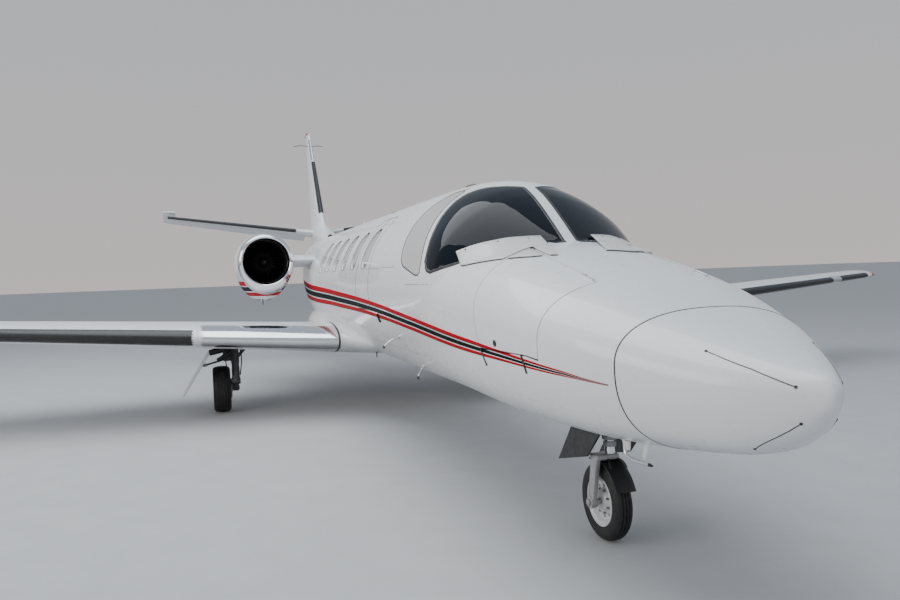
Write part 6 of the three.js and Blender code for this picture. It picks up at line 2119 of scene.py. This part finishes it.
@dataclass(frozen=True)
class Seat:
    """One cabin or cockpit seat: padded cushion, back and headrest, arms, shell and pedestal."""

    name: str
    station: float
    y: float
    width: float
    depth: float
    height: float
    back: float
    tilt: float
    floor: float = 0.88

    def build(self) -> list[Mesh]:
        """Builds the seat's pads as pieces of their own, and returns its hard parts."""
        x0, x1, half = NOSE_X - self.station, NOSE_X - self.station - self.depth, self.width / 2
        top, y = self.floor + self.height, self.y
        lean = Matrix.Translation((x1 + 0.04, 0, top - 0.06)) @ Matrix.Rotation(math.radians(-self.tilt), 4,
                                                                                "Y")
        pads = {
            "cushion": (block((x1 + 0.03, y - half + 0.055, top - 0.10),
                              (x0 - 0.012, y + half - 0.055, top - 0.018), 0.03, 4), None),
            "back": (block((0.008, y - half + 0.03, 0.09), (0.072, y + half - 0.03, self.back - 0.17),
                           0.028, 4), lean),
            "headrest": (block((0.010, y - half + 0.10, self.back - 0.15),
                               (0.076, y + half - 0.10, self.back - 0.012), 0.028, 4), lean),
        }
        for kind, (pad, turn) in pads.items():
            pad = puffed(pad)
            if turn is not None:
                pad.data.transform(turn)
            dress(pad, f"{self.name}_{kind}", LEATHER, "airframe", angle=80)
        shell = block((-0.004, y - half + 0.015, 0.03), (0.016, y + half - 0.015, self.back - 0.05), 0.008, 3)
        shell.data.transform(lean)
        arms = [block((x1 + 0.02, y + s * half - 0.024, top + 0.055),
                      (x0 - 0.10, y + s * half + 0.024, top + 0.088), 0.012, 3) for s in (-0.89, 0.89)]
        posts = [block((x1 + 0.08, y + s * half - 0.015, top - 0.11),
                       (x0 - 0.14, y + s * half + 0.015, top + 0.06), 0.006) for s in (-0.89, 0.89)]
        pan = block((x1 + 0.01, y - half + 0.02, top - 0.112), (x0 - 0.004, y + half - 0.02, top - 0.092),
                    0.008, 3)
        base = block((x1 + 0.06, y - 0.07, self.floor + 0.02), (x0 - 0.06, y + 0.07, top - 0.105), 0.012, 2)
        return [shell, pan, base, *arms, *posts]


def puffed(pad: Mesh) -> Mesh:
    """Swells a pad by cloth simulation under pressure, with its movement capped.

    Args:
        pad: a closed block, a little smaller than the cushion.

    Returns: The same object with the swollen mesh.
    """
    modified(pad, "REMESH", mode="VOXEL", voxel_size=0.011, use_smooth_shade=True)
    start = np.array([v.co[:] for v in pad.data.vertices])
    take(pad)
    cloth = pad.modifiers.new("Cloth", "CLOTH")
    cloth.settings.quality, cloth.settings.mass = 4, 0.4
    cloth.settings.use_pressure, cloth.settings.uniform_pressure_force = True, 4.0
    cloth.settings.tension_stiffness = cloth.settings.compression_stiffness = 12
    cloth.settings.effector_weights.gravity = 0
    cloth.collision_settings.use_collision = False
    cloth.point_cache.frame_start, cloth.point_cache.frame_end = 1, 14
    for step in range(1, 15):
        bpy.context.scene.frame_set(step)
    bpy.ops.object.modifier_apply(modifier=cloth.name)
    bpy.context.scene.frame_set(1)
    moved = np.array([v.co[:] for v in pad.data.vertices])
    shift = moved - start
    size = np.linalg.norm(shift, axis=1, keepdims=True)
    moved = start + shift * np.minimum(1, 0.012 / np.maximum(size, 1e-9))
    pad.data.vertices.foreach_set("co", moved.ravel())
    return modified(pad, "SMOOTH", factor=0.5, iterations=3)


@dataclass
class Cabin:
    """Floor, seats, instrument panel, glareshield, displays and control wheels."""

    def build(self) -> None:
        """Builds the cabin."""
        dress_node("cabin_floor", CARPET)
        self._seats()
        self._panel()

    def _seats(self) -> None:
        """Seats of both rows, each side's hard parts as one piece."""
        for side in Side:
            crew = Seat(f"crew_seat_{side.label}", 2.96, 0.34 * side.value, 0.43, 0.48, 0.33, 0.62, 12)
            dress(joined(crew.build()), f"crew_seat_frame_{side.label}", TRIM, "airframe",
                  [f"crew_seat_{side.label}"])
            hard: list[Mesh] = []
            for i, s in enumerate((4.9, 6.05, 7.2)):
                hard += Seat(f"cabin_seat_{side.label}_{i}", s, 0.40 * side.value, 0.45, 0.5, 0.34, 0.64,
                             16).build()
            rail = block((NOSE_X - 7.7, 0.40 * side.value - 0.05, 0.8805),
                         (NOSE_X - 4.9, 0.40 * side.value + 0.05, 0.905), 0.004)
            dress(joined(hard + [rail]), f"cabin_seat_frames_{side.label}", TRIM, "airframe",
                  [f"cabin_seats_{side.label}"])

    def _panel(self) -> None:
        """The instrument panel's face, with displays, bezels, knobs, the glareshield, the control wheels and
        the throttle pedestal.
        """
        dress_node("instrument_panel", PANEL_BLACK, 0.004)
        face = NOSE_X - 2.86
        screens = [block((face - 0.006, y - 0.085, 1.43), (face + 0.004, y + 0.085, 1.63), 0.003)
                   for y in (-0.50, -0.29, 0.29, 0.50)]
        screens.append(block((face - 0.006, -0.13, 1.43), (face + 0.004, 0.13, 1.63), 0.003))
        dress(joined(screens), "displays", SCREEN_GLASS)
        bezels = [block((face - 0.010, y - w, z), (face + 0.002, y + w, z + 0.015), 0.002)
                  for z in (1.415, 1.63) for y, w in ((-0.395, 0.22), (0.395, 0.22), (0, 0.15))]
        dress(joined(bezels), "display_bezels", KNOB_GREY)
        knobs = [rod((face - 0.024, y, z), (face + 0.002, y, z), 0.010, 0.011, 20, 0.0015)
                 for y in np.linspace(-0.55, 0.55, 14) for z in (1.36, 1.395)]
        dress(joined(knobs), "panel_knobs", KNOB_GREY)
        shield = block((face - 0.05, -0.60, 1.688), (face + 0.14, 0.60, 1.706), 0.008, 3)
        dress(shield, "glareshield", PANEL_BLACK)
        for side in Side:
            y = 0.34 * side.value
            column = rod((face + 0.004, y, 1.40), (face - 0.17, y, 1.44), 0.016, sides=24)
            wheel = pipe([(face - 0.175, y - 0.15, 1.53), (face - 0.18, y - 0.155, 1.46),
                          (face - 0.175, y - 0.09, 1.425), (face - 0.172, y, 1.44),
                          (face - 0.175, y + 0.09, 1.425), (face - 0.18, y + 0.155, 1.46),
                          (face - 0.175, y + 0.15, 1.53)], 0.013, 4)
            dress(joined([column, wheel]), f"control_wheel_{side.label}", SATIN_BLACK)
        pedestal = block((face - 0.28, -0.12, 0.885), (face - 0.02, 0.12, 1.25), 0.015, 3)
        levers = [rod((face - 0.12, y, 1.24), (face - 0.15, y, 1.34), 0.006, 0.006, 12)
                  for y in (-0.03, 0.0, 0.03)]
        grips = [rod((face - 0.15, y - 0.012, 1.345), (face - 0.15, y + 0.012, 1.345), 0.014, sides=20,
                     bevel=0.002) for y in (-0.03, 0.0, 0.03)]
        dress(joined([pedestal, *levers, *grips]), "throttle_pedestal", KNOB_GREY)


@dataclass
class Studio:
    """The floor, the light and the camera."""

    place: Point = (9.4305, -2.1811, 1.5846)
    yaw: float = 2.8348
    pitch: float = -0.0345
    roll: float = 0.0355
    lens: float = 30.83

    def build(self) -> None:
        """Builds all three."""
        self._floor()
        self._light()
        self._camera()

    def _floor(self) -> None:
        """A plain pale floor."""
        deselect()
        bpy.ops.mesh.primitive_plane_add(size=500, location=(0, 0, 0))
        floor = bpy.context.object
        floor.name = "studio_floor"
        floor.data.materials.append(Coated("studio_floor", (0.52, 0.525, 0.53), 0.75, 3.0, 0.0002,
                                           (0.48, 0.48, 0.48), 0.1).material())

    def _light(self) -> None:
        """Soft light from a pale surround, a broad panel above and a softer one from starboard."""
        world = bpy.context.scene.world or bpy.data.worlds.new("studio")
        bpy.context.scene.world = world
        world.use_nodes = True
        nodes, links = world.node_tree.nodes, world.node_tree.links
        nodes.clear()
        place = nodes.new("ShaderNodeTexCoord")
        parts = nodes.new("ShaderNodeSeparateXYZ")
        ramp = nodes.new("ShaderNodeValToRGB")
        sky, end = nodes.new("ShaderNodeBackground"), nodes.new("ShaderNodeOutputWorld")
        links.new(place.outputs["Generated"], parts.inputs[0])
        links.new(parts.outputs["Z"], ramp.inputs[0])
        ramp.color_ramp.elements[0].position = 0.0
        ramp.color_ramp.elements[0].color = (0.86, 0.80, 0.78, 1)
        ramp.color_ramp.elements[1].position = 0.55
        ramp.color_ramp.elements[1].color = (0.62, 0.70, 0.80, 1)
        links.new(ramp.outputs[0], sky.inputs[0])
        sky.inputs["Strength"].default_value = 0.75
        links.new(sky.outputs[0], end.inputs[0])
        panels = (
            ("panel_above", (1, -3, 11), (0, 0, 0.5), 16, 9, 1300, (0.93, 0.97, 1.0)),
            ("panel_starboard", (6, -16, 6), (2, 0, 1.2), 14, 7, 1100, (1.0, 0.95, 0.90)),
        )
        for name, place_at, target, width, height, power, colour in panels:
            data = bpy.data.lights.new(name, "AREA")
            data.shape, data.energy, data.color = "RECTANGLE", power, colour
            data.size, data.size_y = width, height
            lamp = bpy.data.objects.new(name, data)
            bpy.context.scene.collection.objects.link(lamp)
            lamp.location = place_at
            lamp.rotation_euler = (Vector(target) - Vector(place_at)).to_track_quat("-Z", "Y").to_euler()

    def _camera(self) -> None:
        """The photograph's viewing angle."""
        data = bpy.data.cameras.new("camera")
        data.sensor_width, data.lens, data.clip_end = 36, self.lens, 600
        camera = bpy.data.objects.new("camera", data)
        bpy.context.scene.collection.objects.link(camera)
        level = math.cos(self.pitch)
        ahead = Vector((math.cos(self.yaw) * level, math.sin(self.yaw) * level, math.sin(self.pitch)))
        right = Vector((math.sin(self.yaw), -math.cos(self.yaw), 0))
        down = ahead.cross(right)
        c, s = math.cos(self.roll), math.sin(self.roll)
        x, y = c * right + s * down, -s * right + c * down
        camera.matrix_world = Matrix.Translation(self.place) @ Matrix((x, -y, -ahead)).transposed().to_4x4()
        bpy.context.scene.camera = camera


def main() -> None:
    """Builds every sub-assembly in order."""
    logging.basicConfig(level=logging.INFO, format="%(name)s: %(message)s")
    parts = [Studio(), Airframe()]
    for side in Side:
        parts += [Seams(side), Deflectors(side), LeadingEdges(side), MainGear(side), Engine(side)]
    for part in parts + [Aerials(), NoseGear(), Cabin()]:
        part.build()
    deselect()


if __name__ == "__main__":
    main()
